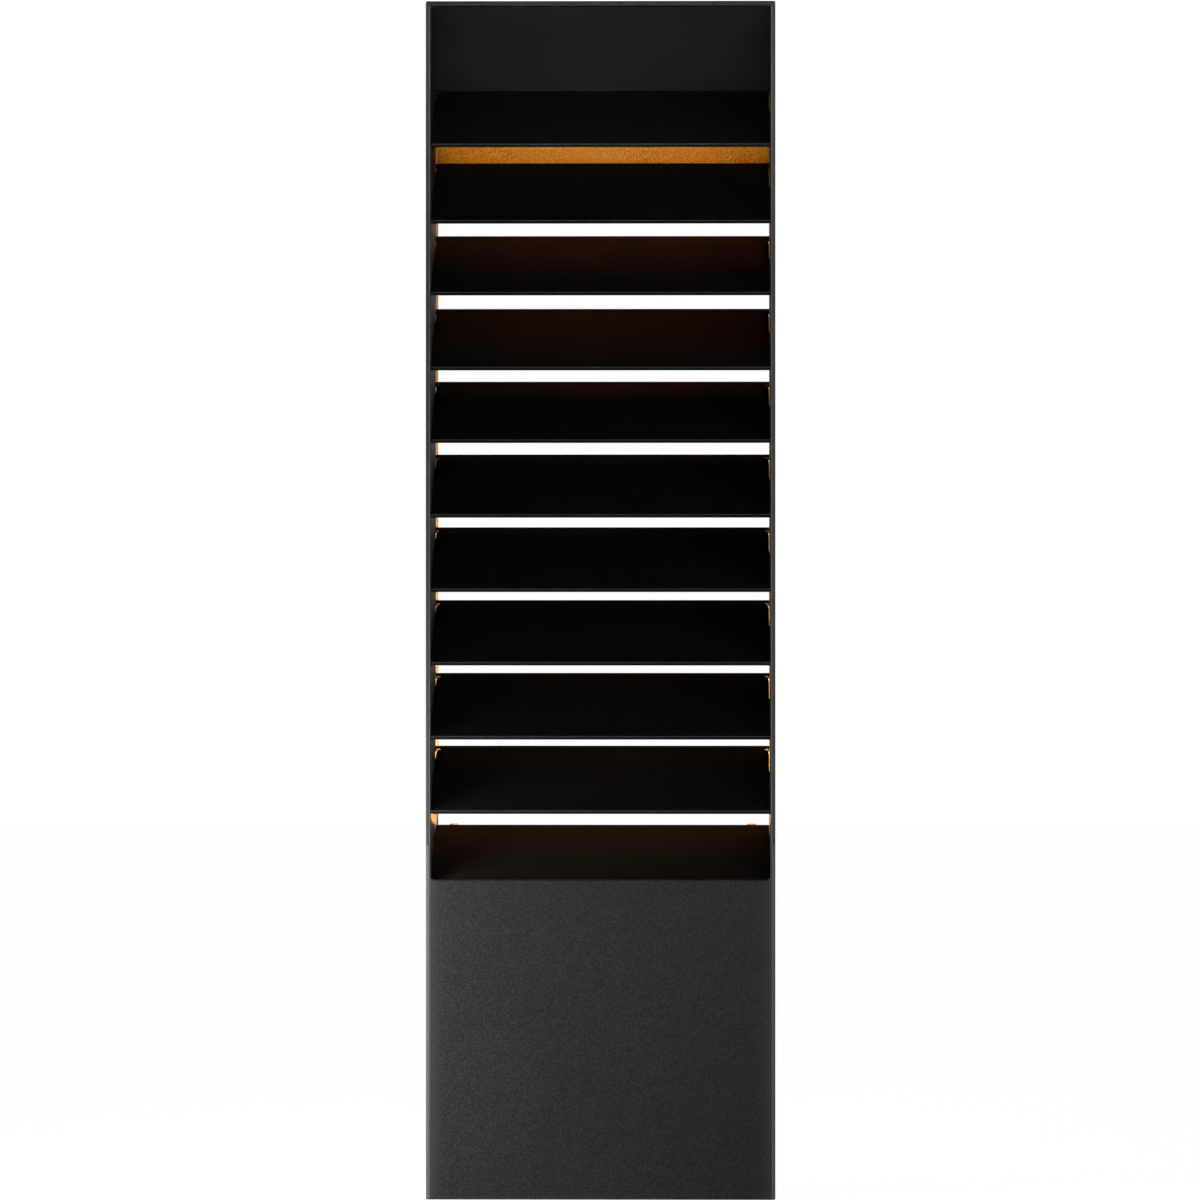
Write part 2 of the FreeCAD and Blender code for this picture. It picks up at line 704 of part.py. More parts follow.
def makeLensPieces():
    """Frosted lens and the flat gasket under it, each with a screw hole near both ends."""
    rear = f"({trayFrontY} + {trayDepth})"
    outer = rectangle(f"-({flangeHalf} - lens_play)", f"{flangeHalf} - lens_play", trayFrontY, rear)
    for label, low, thickness in (
        ("lens_gasket", trayRimZ, "gasket_thickness"),
        ("lamp_lens", f"({trayRimZ} + gasket_thickness)", "lens_thickness"),
    ):
        body = newBody(label, z=low)
        outline = newSketch(body, "Lens_outline", "XY_Plane")
        drawOutline(outline, outer)
        pad(body, "Lens_sheet", outline, thickness)
        holes = newSketch(body, "Screw_places", "XY_Plane")
        for x in (lensScrewX, f"-{lensScrewX}"):
            drawCircle(holes, (x, trayMidY), "screw_radius + stud_play")
        pocket(body, "Screw_holes", holes)
        if label == "lens_gasket":
            front = f"({trayFrontY} + tray_gauge + tray_rim)"
            side = f"({flangeHalf} - tray_end_flange)"
            far = f"({rear} - tray_gauge - tray_rim)"
            light = newSketch(body, "Light_outline", "XY_Plane")
            drawOutline(light, rectangle(f"-{side}", side, front, far))
            pocket(body, "Light_window", light)


def makeTurned(label, corners, x, y, z, plane="XZ_Plane"):
    """Turn an outline of radius and height about the body's upright axis."""
    body = newBody(label, x, y, z)
    half = newSketch(body, "Half_section", plane)
    drawOutline(half, corners)
    feature = body.newObject("PartDesign::Revolution", "Turned")
    feature.Profile = half
    feature.ReferenceAxis = (half, ["V_Axis"])
    feature.Angle = 360
    doc.recompute()
    return body


def grommetProfile(bore, neck, flange, low, high, lip):
    """Give the half section of a grommet that grips a sheet from low to high."""
    return [
        (bore, f"{low} - {lip}"),
        (flange, f"{low} - {lip}"),
        (flange, low),
        (neck, low),
        (neck, high),
        (flange, high),
        (flange, f"{high} + {lip}"),
        (bore, f"{high} + {lip}"),
    ]


def makeGrommets():
    """Rubber grommets: one for the lead in the tray's floor, one for the wall cable."""
    corners = grommetProfile(
        "lead_radius + grommet_play / 2",
        "grommet_radius - grommet_play",
        "grommet_flange",
        "-grommet_play",
        "tray_gauge + grommet_play",
        "grommet_lip",
    )
    makeTurned("tray_grommet", corners, grommetX, trayMidY, trayFloorZ)
    corners = grommetProfile(
        "cable_bore",
        "cable_hole - grommet_play",
        "cable_flange",
        f"{plateFrontY} - grommet_play",
        f"{plateBackY} + grommet_play",
        "cable_lip",
    )
    makeTurned("cable_grommet", corners, "0", "0", "mount_height", plane="XY_Plane")


def makeDriver():
    """Driver case with mounting ears, and the flat lid that closes its back."""
    body = newBody("driver_case", z="mount_height")
    half = "(driver_length / 2)"
    outline = newSketch(body, "Case_outline", "XZ_Plane", f"-{driverLidY}")
    tall = "(driver_height / 2)"
    drawOutline(outline, rectangle(f"-{half}", half, f"-{tall}", tall))
    pad(body, "Case_block", outline, "driver_depth - driver_lid")

    def upright(edge):
        return straightAlong(edge, 1)

    fillet(body, "Case_corners", "driver_round", upright)
    ears = newSketch(body, "Ear_outline", "XZ_Plane", f"-{driverFrontY}")
    wide = f"({half} + driver_ear)"
    drawOutline(ears, rectangle(f"-{wide}", wide, "-driver_ear / 2", "driver_ear / 2"))
    pad(body, "Ears", ears, "driver_ear_gauge", reverse=True)
    slots = newSketch(body, "Ear_slots", "XZ_Plane")
    play = "(stud_radius + stud_play)"
    for side in (1, -1):
        inside = f"{side} * ({half} + driver_ear / 2 - {play})"
        outside = f"{side} * ({wide} + cut_overrun)"
        drawOutline(slots, rectangle(inside, outside, f"-{play}", play))
    pocket(body, "Stud_slots", slots)
    threads = newSketch(body, "Thread_places", "XZ_Plane", f"-({driverLidY} + cut_overrun)")
    for side in (1, -1):
        drawCircle(threads, (f"{side} * {driverScrewX}", 0), "screw_radius + thread_play")
    pocket(body, "Thread_holes", threads, "driver_screw_length + cut_overrun", reverse=True)
    lid = newBody("driver_lid", z="mount_height")
    plate = newSketch(lid, "Lid_outline", "XZ_Plane", f"-({driverLidY} + driver_lid)")
    drawOutline(plate, rectangle(f"-{half}", half, f"-{tall}", tall))
    pad(lid, "Lid_plate", plate, "driver_lid")
    fillet(lid, "Lid_corners", "driver_round", upright)
    holes = newSketch(lid, "Screw_places", "XZ_Plane")
    for side in (1, -1):
        drawCircle(holes, (f"{side} * {driverScrewX}", 0), "screw_radius + stud_play")
    pocket(lid, "Screw_holes", holes)


def place(piece, x, y, z, turn=None):
    """Stand a primitive at a place on the case, its own axis turned from upright."""
    if turn is not None:
        piece.Placement = Placement(Vector(), turn)
    bind(
        piece,
        Placement__Base__x=x,
        Placement__Base__y=y,
        Placement__Base__z=f"{z} - mount_height",
    )
    return piece


def cylinder(name, radius, height, x, y, z, turn=None):
    piece = doc.addObject("Part::Cylinder", name)
    bind(piece, Radius=radius, Height=height)
    return place(piece, x, y, z, turn)


def cone(name, radius, endRadius, height, x, y, z, turn=None):
    piece = doc.addObject("Part::Cone", name)
    bind(piece, Radius1=radius, Radius2=endRadius, Height=height)
    return place(piece, x, y, z, turn)


def bar(name, radius, height, x, y, z, turn=None):
    piece = doc.addObject("Part::Prism", name)
    piece.Polygon = int(sizes["bar_sides"])
    bind(piece, Circumradius=radius, Height=height)
    return place(piece, x, y, z, turn)


def hexagon(name, across, height, x, y, z, turn=None):
    piece = doc.addObject("Part::Prism", name)
    piece.Polygon = 6
    bind(piece, Circumradius=f"{across} / sqrt(3)", Height=height)
    return place(piece, x, y, z, turn)


def combine(kind, name, base, tool):
    piece = doc.addObject(kind, name)
    piece.Base = base
    piece.Tool = tool
    return piece


def makePanScrews():
    """Screws that hold the lens to the tray and the lid to the driver, as eight-sided bars."""
    towardsFront = Rotation(Vector(1, 0, 0), 90)
    towardsWall = Rotation(Vector(1, 0, 0), -90)
    downwards = Rotation(Vector(1, 0, 0), 180)
    lidSeat = (driverScrewX, f"{driverLidY} + driver_lid", "mount_height")
    for label, length, seat, headTurn, shankTurn in (
        ("lens_screws", "lens_screw_length", (lensScrewX, trayMidY, lensTop), None, downwards),
        ("driver_screws", "driver_screw_length", lidSeat, towardsWall, towardsFront),
    ):
        screws = []
        for side in (1, -1):
            name = f"{label}_{len(screws)}"
            where = (f"{side} * {seat[0]}", *seat[1:])
            head = bar(name + "_head", "screw_head", "head_height", *where, headTurn)
            shank = bar(name + "_shank", "screw_radius", length, *where, shankTurn)
            screws.append(combine("Part::Fuse", name, head, shank))
        group = doc.addObject("Part::Compound", label + "_group")
        group.Links = screws
        register(group, label)


def makeLockScrews():
    """Countersunk socket screws through the case's sides into the wall plate's flanges."""
    screws = []
    for side in (1, -1):
        inwards = Rotation(Vector(0, 1, 0), -90 * side)
        name = f"Lock_{len(screws)}"
        seat = (f"{side} * case_width / 2", "-lock_inset", "lock_height")
        depth = "lock_head - lock_radius - lock_play"
        head = cone(name + "_head", "lock_head - lock_play", "lock_radius", depth, *seat, inwards)
        shank = cylinder(name + "_shank", "lock_radius", "lock_length", *seat, inwards)
        solid = combine("Part::Fuse", name + "_solid", head, shank)
        socket = hexagon(name + "_socket", "socket_across", "socket_depth", *seat, inwards)
        screws.append(combine("Part::Cut", name, solid, socket))
    group = doc.addObject("Part::Compound", "Lock_screws")
    group.Links = screws
    return register(group, "lock_screws")


def makeGroundScrew():
    """Hexagon washer-head screw for the earth wire, in the wall plate's web."""
    towardsFront = Rotation(Vector(1, 0, 0), 90)
    towardsWall = Rotation(Vector(1, 0, 0), -90)
    seat = ("ground_offset", plateFrontY, "mount_height - ground_offset")
    washer = cylinder("Ground_washer", "ground_washer", "washer_thickness", *seat, towardsFront)
    head = hexagon("Ground_head", "2 * ground_head", "ground_head_height", *seat, towardsFront)
    shank = cylinder("Ground_shank", "ground_radius", "ground_length", *seat, towardsWall)
    top = combine("Part::Fuse", "Ground_top", washer, head)
    return register(combine("Part::Fuse", "Ground_screw", top, shank), "ground_screw")


def makeGlands():
    """Glands on the driver's top: one for the supply wires, one for the lead."""
    glands = []
    middleY = f"(({driverFrontY} + {driverLidY}) / 2)"
    top = "(mount_height + driver_height / 2)"
    for side in (1, -1):
        seat = (f"{side} * (driver_length / 2 - lead_exit)", middleY, top)
        foot = hexagon(f"Gland_foot_{side > 0}", "2 * gland_radius", "gland_length / 2", *seat)
        barrel = cylinder(f"Gland_barrel_{side > 0}", "gland_barrel", "gland_length", *seat)
        solid = combine("Part::Fuse", f"Gland_solid_{side > 0}", foot, barrel)
        bore = cylinder(f"Gland_bore_{side > 0}", "lead_radius + grommet_play / 2", "gland_length", *seat)
        glands.append(combine("Part::Cut", f"Gland_{side > 0}", solid, bore))
    group = doc.addObject("Part::Compound", "Glands")
    group.Links = glands
    return register(group, "driver_glands")


def makeLead():
    """Eight-sided lead from the driver's gland through the tray's grommet to the connector."""
    start = Vector(
        number("driver_length / 2 - lead_exit"),
        number(f"({driverFrontY} + {driverLidY}) / 2"),
        number("mount_height + driver_height / 2"),
    )
    low = start.z + number("gland_length + 2 * lead_bend")
    end = Vector(number(grommetX), number(trayMidY), number(boardTop))
    corners = [Vector(start.x, start.y, low), Vector(end.x, end.y, low)]
    radius = number("lead_bend")
    edges = []
    here = start
    points = [start] + corners + [end]
    for index, corner in enumerate(corners, 1):
        before = (points[index - 1] - corner).normalize()
        after = (points[index + 1] - corner).normalize()
        half = before.getAngle(after) / 2
        entry = corner + before * (radius / math.tan(half))
        leave = corner + after * (radius / math.tan(half))
        inward = (before + after).normalize()
        top = corner + inward * (radius / math.sin(half) - radius)
        edges.append(Part.LineSegment(here, entry).toShape())
        edges.append(Part.Arc(entry, top, leave).toShape())
        here = leave
    edges.append(Part.LineSegment(here, end).toShape())
    path = Part.Wire(edges)
    step = 2 * math.pi / int(sizes["bar_sides"])
    around = [step * side for side in range(int(sizes["bar_sides"]))]
    rim = [Vector(math.cos(turn), math.sin(turn), 0) * number("lead_radius") for turn in around]
    section = Part.makePolygon([start + point for point in rim + rim[:1]])
    lead = doc.addObject("Part::Feature", "Lead")
    lead.Shape = path.makePipeShell([section], True, False)
    place(lead, "0", "0", "0")
    return register(lead, "led_lead")


def makeWallPlate():
    """Wall plate: a folded pan with the wall box's slots, the cable hole and side flanges."""
    body = newBody("wall_plate", z="case_wall + plate_lift")
    centre = "(mount_height - case_wall - plate_lift)"
    tip = f"({plateFrontY} - plate_flange)"
    inner = f"({flangeHalf} - plate_gauge)"
    profile = newSketch(body, "Pan_profile", "XY_Plane")
    corners = [(f"-{flangeHalf}", tip), (f"-{flangeHalf}", plateBackY), (flangeHalf, plateBackY)]
    corners += [(flangeHalf, tip), (inner, tip), (inner, plateFrontY)]
    corners += [(f"-{inner}", plateFrontY), (f"-{inner}", tip)]
    drawOutline(profile, corners)
    pad(body, "Pan", profile, "plate_height")

    def foldOutside(edge):
        middle = edge.CenterOfMass
        return straightAlong(edge, 2) and near(abs(middle.x), flangeHalf) and near(middle.y, plateBackY)

    fillet(body, "Fold_outside", "plate_gauge", foldOutside)
    holes = newSketch(body, "Web_holes", "XZ_Plane")
    drawCircle(holes, ("0", centre), "cable_hole")
    drawCircle(holes, ("ground_offset", f"{centre} - ground_offset"), "ground_radius + thread_play")
    middles = newSketch(body, "Slot_middles", "XZ_Plane")
    for side in (1, -1):
        for end in (1, -1):
            x = f"({side} * box_spacing / 2 + {end} * (box_slot_length / 2 - box_slot_radius))"
            drawCircle(holes, (x, centre), "box_slot_radius")
        half = "(box_slot_length / 2 - box_slot_radius)"
        middle = f"({side} * box_spacing / 2)"
        low, high = f"{centre} - box_slot_radius", f"{centre} + box_slot_radius"
        drawOutline(middles, rectangle(f"{middle} - {half}", f"{middle} + {half}", low, high))
    pocket(body, "Round_holes", holes)
    pocket(body, "Slots", middles)
    locks = newSketch(body, "Lock_places", "YZ_Plane")
    where = ("-lock_inset", "lock_height - case_wall - plate_lift")
    drawCircle(locks, where, "lock_radius + thread_play")
    pocket(body, "Lock_threads", locks)
    return body


def makeWallGasket():
    """Foam gasket between the wall plate and the wall, a frame round the wall box."""
    body = newBody("wall_gasket", z="mount_height")
    wide = "(box_spacing / 2 + box_slot_length / 2 + gasket_margin)"
    outline = newSketch(body, "Gasket_outline", "XZ_Plane")
    outerWide, outerTall = f"({flangeHalf} - gasket_inset)", "(gasket_window + gasket_width)"
    drawOutline(outline, rectangle(f"-{outerWide}", outerWide, f"-{outerTall}", outerTall))
    pad(body, "Foam", outline, "wall_gasket")
    window = newSketch(body, "Window_outline", "XZ_Plane")
    drawOutline(window, rectangle(f"-{wide}", wide, "-gasket_window", "gasket_window"))
    pocket(body, "Window", window)

    def corner(edge):
        return straightAlong(edge, 1)

    fillet(body, "Corners", "gasket_corner", corner)
    return body


makeHousing()
for slatIndex in range(int(sizes["slat_count"])):
    makeSlat(slatIndex)
makeStuds()
makeTopFascia()
makeUpperBackPlate()
makeSillPlate()
makeLampTray()
makeBoard()
makeChips()
makeConnector()
makeLensPieces()
makeGrommets()
makeDriver()
makeGlands()
makeLead()
makePanScrews()
makeWallPlate()
makeWallGasket()
makeLockScrews()
makeGroundScrew()

doc.recompute()
failed = [item.Name for item in doc.Objects if {"Invalid", "Error"} & set(item.State)]
if failed:
    raise RuntimeError(f"failed objects: {failed}")
for piece in subParts:
    if piece.Shape.isNull() or not piece.Shape.isValid():
        raise RuntimeError(f"{piece.Label} has no valid shape")
os.makedirs("parts", exist_ok=True)
for piece in subParts:
    piece.Shape.exportStep(os.path.join("parts", piece.Label + ".step"))
print(f"{len(subParts)} sub-parts written")
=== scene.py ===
import json
import math

import bmesh
import bpy
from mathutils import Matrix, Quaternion, Vector


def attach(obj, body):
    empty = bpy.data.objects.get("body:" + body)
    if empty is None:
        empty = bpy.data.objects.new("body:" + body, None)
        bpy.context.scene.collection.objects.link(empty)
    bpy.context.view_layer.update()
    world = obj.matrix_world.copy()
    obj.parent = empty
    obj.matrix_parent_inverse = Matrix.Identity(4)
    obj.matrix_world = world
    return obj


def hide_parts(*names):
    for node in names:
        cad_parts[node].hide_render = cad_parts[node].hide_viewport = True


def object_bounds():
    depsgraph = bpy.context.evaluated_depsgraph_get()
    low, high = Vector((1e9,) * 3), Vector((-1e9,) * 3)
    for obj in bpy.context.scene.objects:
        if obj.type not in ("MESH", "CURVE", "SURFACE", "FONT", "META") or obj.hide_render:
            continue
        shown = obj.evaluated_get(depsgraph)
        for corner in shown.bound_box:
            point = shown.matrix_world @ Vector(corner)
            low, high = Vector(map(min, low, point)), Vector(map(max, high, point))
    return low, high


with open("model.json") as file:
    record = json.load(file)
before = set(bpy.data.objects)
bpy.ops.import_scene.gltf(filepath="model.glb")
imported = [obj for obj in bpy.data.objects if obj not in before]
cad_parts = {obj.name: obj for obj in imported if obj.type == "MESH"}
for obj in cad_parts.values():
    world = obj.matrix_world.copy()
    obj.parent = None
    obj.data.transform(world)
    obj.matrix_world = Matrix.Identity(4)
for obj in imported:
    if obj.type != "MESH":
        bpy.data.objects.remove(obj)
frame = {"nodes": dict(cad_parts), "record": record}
cadBox = [list(corner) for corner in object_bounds()]
cadNodes = frame["nodes"]
nodeSlots = {entry["node"]: entry["material_slot"] for entry in frame["record"]["subparts"]}
print("frame loaded:", len(cadNodes), "nodes")

# Node steps. A node that is fed to another stands for its first output.

origin, white = (0.0, 0.0, 0.0), (1.0, 1.0, 1.0)
nodeGrid = {"columns": 8, "across": 220, "down": 280}
socketKinds = {tuple: "Vector", float: "Float", int: "Int"}


def feed(node, feeds):
    # Feeds go by the inputs' names or numbers, or in their order. Sockets are linked, plain values are set.
    for key, value in feeds.items() if isinstance(feeds, dict) else enumerate(feeds):
        socket = node.inputs[key]
        if isinstance(value, bpy.types.Node):
            value = value.outputs[0]
        if isinstance(value, bpy.types.NodeSocket):
            node.id_data.links.new(value, socket)
        elif isinstance(value, tuple) and len(value) < len(socket.default_value):
            socket.default_value = (*value, 1.0)
        else:
            socket.default_value = value


def addNode(tree, kind, feeds=(), **values):
    node = tree.nodes.new(kind)
    row, column = divmod(len(tree.nodes), nodeGrid["columns"])
    node.location = (column * nodeGrid["across"], -row * nodeGrid["down"])
    for name, value in values.items():
        setattr(node, name, value)
    feed(node, feeds)
    return node


def newTree(kind, name, inputs, outputs):
    # Sockets by name, each with its plain value, or with its kind where it has none.
    tree = bpy.data.node_groups.new(name, kind)
    for way, sockets in (("INPUT", inputs), ("OUTPUT", outputs)):
        for label, value in sockets.items():
            kindName = "NodeSocket" + socketKinds.get(type(value), str(value))
            socket = tree.interface.new_socket(name=label, in_out=way, socket_type=kindName)
            if type(value) in socketKinds:
                socket.default_value = value
    return tree, addNode(tree, "NodeGroupInput").outputs, addNode(tree, "NodeGroupOutput")


def mathStep(tree, operation, first, second=0.0, clamp=False):
    return addNode(tree, "ShaderNodeMath", (first, second), operation=operation, use_clamp=clamp)


def product(tree, first, *others):
    for other in others:
        first = mathStep(tree, "MULTIPLY", first, other)
    return first


def vectorStep(tree, operation, *values):
    return addNode(tree, "ShaderNodeVectorMath", values, operation=operation)


def rangeStep(tree, value, low=0.0, high=1.0, toLow=0.0, toHigh=1.0, **values):
    return addNode(tree, "ShaderNodeMapRange", (value, low, high, toLow, toHigh), **values)


def mixStep(tree, factor, first, second):
    return addNode(tree, "ShaderNodeMix", {0: factor, 6: first, 7: second}, data_type="RGBA").outputs[2]


def noiseStep(tree, place, scale, detail, roughness):
    feeds = {"Vector": place, "Scale": scale, "Detail": detail, "Roughness": roughness}
    return addNode(tree, "ShaderNodeTexNoise", feeds)


def splitPlace(tree, place):
    return addNode(tree, "ShaderNodeSeparateXYZ", [place]).outputs


def objectPlace(tree, scale=(1.0, 1.0, 1.0)):
    coordinates = addNode(tree, "ShaderNodeTexCoord").outputs["Object"]
    return addNode(tree, "ShaderNodeMapping", {"Vector": coordinates, "Scale": scale})


def useGroup(tree, group, **feeds):
    named = {name.replace("_", " "): value for name, value in feeds.items()}
    return addNode(tree, "ShaderNodeGroup", named, node_tree=group).outputs


def newMaterial(name):
    material = bpy.data.materials.new(name)
    material.use_nodes = True
    return material, material.node_tree, material.node_tree.nodes["Principled BSDF"]


def addToScene(name, data, at=None, aim=None):
    piece = bpy.data.objects.new(name, data)
    if at:
        piece.location = at
        piece.rotation_euler = (Vector(aim) - Vector(at)).to_track_quat("-Z", "Y").to_euler()
    bpy.context.scene.collection.objects.link(piece)
    return piece


# Stage: camera at the photograph's angle, white surround, pale floor and soft lamps.

bpy.context.scene.view_settings.view_transform = "Standard"

stageLook = {
    "eye": (0.058, -3.7516, 0.225),
    "aim": (-0.00025, -0.1016, 0.225),
    "lens": 215.4,
    "farthest": 50.0,
    "surround": 0.2,  # light that the white surround sends onto the object
    "ceiling": 0.05,  # share of it that is left overhead
    "ceilingFade": (0.22, 0.6),  # sines of the heights between which it fades
    "floor": {"Base Color": (0.86, 0.86, 0.85), "Roughness": 0.9, "Specular IOR Level": 0.1},
    "floorSize": 6.0,
    "floorShadow": 0.3,
    "floorWhite": 1.39,
}


def makeCamera(look):
    camera = bpy.data.cameras.new("Camera")
    camera.lens = look["lens"]
    camera.clip_end = look["farthest"]
    bpy.context.scene.camera = addToScene("Camera", camera, look["eye"], look["aim"])


def makeSurround(look):
    # White to the camera all round; what lights and mirrors in the object fades towards a dark ceiling.
    world = bpy.data.worlds.new("Surround")
    world.use_nodes = True
    tree = world.node_tree
    tree.nodes.clear()
    path = addNode(tree, "ShaderNodeLightPath").outputs
    mirrored = mathStep(tree, "MAXIMUM", path["Is Glossy Ray"], path["Is Transmission Ray"])
    level = rangeStep(tree, mirrored, toLow=look["surround"])
    height = splitPlace(tree, addNode(tree, "ShaderNodeTexCoord").outputs["Generated"])["Z"]
    fade = rangeStep(tree, height, *look["ceilingFade"], 1.0, look["ceiling"], interpolation_type="SMOOTHSTEP")
    seen = mathStep(tree, "MAXIMUM", product(tree, level, fade), path["Is Camera Ray"])
    glow = addNode(tree, "ShaderNodeBackground", (white, seen))
    addNode(tree, "ShaderNodeOutputWorld", [glow])
    bpy.context.scene.world = world


def makeFloor(look):
    low, half = cadBox[0][2], look["floorSize"]
    mesh = bpy.data.meshes.new("Floor")
    signs = ((-1, -1), (1, -1), (1, 1), (-1, 1))
    mesh.from_pydata([(x * half, y * half, low) for x, y in signs], [], [(0, 1, 2, 3)])
    material, tree, shader = newMaterial("Pale floor")
    feed(shader, look["floor"])
    path = addNode(tree, "ShaderNodeLightPath").outputs
    share = product(tree, path["Is Camera Ray"], 1 - look["floorShadow"])
    glow = addNode(tree, "ShaderNodeEmission", (white, look["floorWhite"]))
    blend = addNode(tree, "ShaderNodeMixShader", (share, shader, glow))
    feed(tree.nodes["Material Output"], {"Surface": blend})
    mesh.materials.append(material)
    addToScene("Floor", mesh)


def makeLamp(name, size, power, at, aim, colour=white, spread=180):
    lamp = bpy.data.lights.new(name, "AREA")
    lamp.shape = "RECTANGLE"
    lamp.size, lamp.size_y = size
    lamp.energy, lamp.color, lamp.spread = power, colour, math.radians(spread)
    addToScene(name, lamp, at, aim).visible_camera = False


amber = (1.0, 0.42, 0.1)
lamps = [  # name, size, power, place and aim, then colour and spread where they aren't white and open
    ("Left softbox", (0.1, 0.24), 0.85, (-0.23, -0.21, 0.06), (-0.02, -0.1, 0.0)),
    ("Right softbox", (0.8, 0.5), 8.3, (1.5, -1.6, 0.2), (0, -0.1, 0.2)),
    ("Front fill", (1.4, 0.4), 1.6, (0.2, -2.6, 0.13), (0, -0.1, 0.3)),
    ("Floor light", (1.6, 1.0), 34, (0, -2.0, 1.5), (0, -2.0, -0.08), white, 70),
    ("Lens glow", (0.16, 0.028), 1.65, (0, -0.0247, 0.108), (0, -0.0247, 0.5), (1.0, 0.47, 0.15)),
    ("Channel glow", (0.16, 0.028), 21, (0, -0.0247, 0.109), (0, -0.0247, 0.5), amber, 90),
    ("Top fill", (0.16, 0.04), 0.03, (0.02, -0.5, 0.41), (0, -0.06, 0.5), white, 24),
    ("Plate glow", (0.15, 0.01), 0.047, (0, -0.026, 0.414), (0, -0.016, 0.455), amber, 80),
]

makeCamera(stageLook)
makeSurround(stageLook)
makeFloor(stageLook)
for lampLook in lamps:
    makeLamp(*lampLook)
print("stage ready")

# Groups that more than one finish uses.

sandNoise = {
    "smooth": 0.6, "coarser": 0.37, "ripple": (3.0, 0.6), "rippleShare": 0.7,
    "specks": (1.0, 0.5), "speck": (0.42, 0.72), "patches": (4.0, 0.62), "patch": (0.3, 0.7),
}
dustNoise = {"facing": (0.35, 1.0), "drift": (46.0, 6.0, 0.66), "cover": (0.36, 0.72)}
rubAndHighlightNoise = {"patches": (160.0, 5.0, 0.7), "bare": (0.35, 0.65)}


def sandGroup(look):
    inputs = {"Place": origin, "Grain Scale": 1400.0, "Patch Scale": 14.0}
    tree, source, sink = newTree("ShaderNodeTree", "Sand grain", inputs, {"Height": 0.0, "Speck": 0.0, "Patch": 0.0})
    place, grain, patch = source[:3]
    feeds = {"Vector": place, "Scale": grain, "Smoothness": look["smooth"]}
    cells = addNode(tree, "ShaderNodeTexVoronoi", feeds, feature="SMOOTH_F1")
    ripple = noiseStep(tree, place, product(tree, grain, look["coarser"]), *look["ripple"])
    bumps = mathStep(tree, "SUBTRACT", 1.0, cells)
    height = mathStep(tree, "ADD", bumps, product(tree, ripple, look["rippleShare"]))
    speck = rangeStep(tree, noiseStep(tree, place, grain, *look["specks"]), *look["speck"])
    blotch = rangeStep(tree, noiseStep(tree, place, patch, *look["patches"]), *look["patch"])
    feed(sink, (height, speck, blotch))
    return tree


def dustGroup(look):
    inputs = {"Place": origin, "Amount": 0.5}
    tree, source, sink = newTree("ShaderNodeTree", "Settled dust", inputs, {"Dust": 0.0})
    place, amount = source[:2]
    normal = addNode(tree, "ShaderNodeNewGeometry").outputs["Normal"]
    upward = rangeStep(tree, splitPlace(tree, normal)["Z"], *look["facing"])
    drift = rangeStep(tree, noiseStep(tree, place, *look["drift"]), *look["cover"])
    feed(sink, [mathStep(tree, "MULTIPLY", product(tree, upward, drift), amount, True)])
    return tree


def rubGroup(look):
    # A mask where the object's own box has its edges, for paint that hands and wind have rubbed, lightened further as
    # a painted highlight of the rounded edges.
    inputs = {"Place": origin, "Centre": origin, "Half Size": (1.0, 1.0, 1.0), "Width": 0.0012}
    tree, source, sink = newTree("ShaderNodeTree", "Edge rub", inputs, {"Rub": 0.0})
    place, centre, half, width = source[:4]
    away = vectorStep(tree, "ABSOLUTE", vectorStep(tree, "SUBTRACT", place, centre))
    x, y, z = splitPlace(tree, vectorStep(tree, "SUBTRACT", half, away))
    pairs = [mathStep(tree, "MAXIMUM", first, second) for first, second in ((x, y), (y, z), (x, z))]
    nearest = mathStep(tree, "MINIMUM", mathStep(tree, "MINIMUM", pairs[0], pairs[1]), pairs[2])
    near = rangeStep(tree, mathStep(tree, "DIVIDE", nearest, width), 1.0, 0.0)
    patches = rangeStep(tree, noiseStep(tree, place, *look["patches"]), *look["bare"])
    feed(sink, [product(tree, near, patches)])
    return tree


sandGrain, settledDust, edgeRubAndHighlight = sandGroup(sandNoise), dustGroup(dustNoise), rubGroup(rubAndHighlightNoise)


def makeFinish(name, recipe, look):
    # A recipe gives the height and what changes over the surface. Plain values go straight to the shader.
    material, tree, shader = newMaterial(name)
    height, feeds = recipe(tree, objectPlace(tree), look)
    relief = {"Height": height, "Distance": look["depth"], "Strength": look["bump"]}
    feed(shader, {**look.get("plain", {}), **feeds, "Normal": addNode(tree, "ShaderNodeBump", relief)})
    return material


def sandOf(tree, place, look):
    return useGroup(tree, sandGrain, Place=place, Grain_Scale=look["grain"], Patch_Scale=look["patch"])


def dustOf(tree, place, look):
    return useGroup(tree, settledDust, Place=place, Amount=look["dust"])[0]


def noseLine(tree, place, look):
    # A painted highlight along the upper corner of every slat's nose, found by the slat's own places.
    own = addNode(tree, "ShaderNodeAttribute", attribute_name="slatPlace").outputs["Vector"]
    axes = splitPlace(tree, own)
    broken = rangeStep(tree, noiseStep(tree, place, *look["patches"]), *look["broken"])
    up, along = rangeStep(tree, axes["Z"], *look["band"]), rangeStep(tree, axes["Y"], *look["reach"])
    return product(tree, up, along, broken)


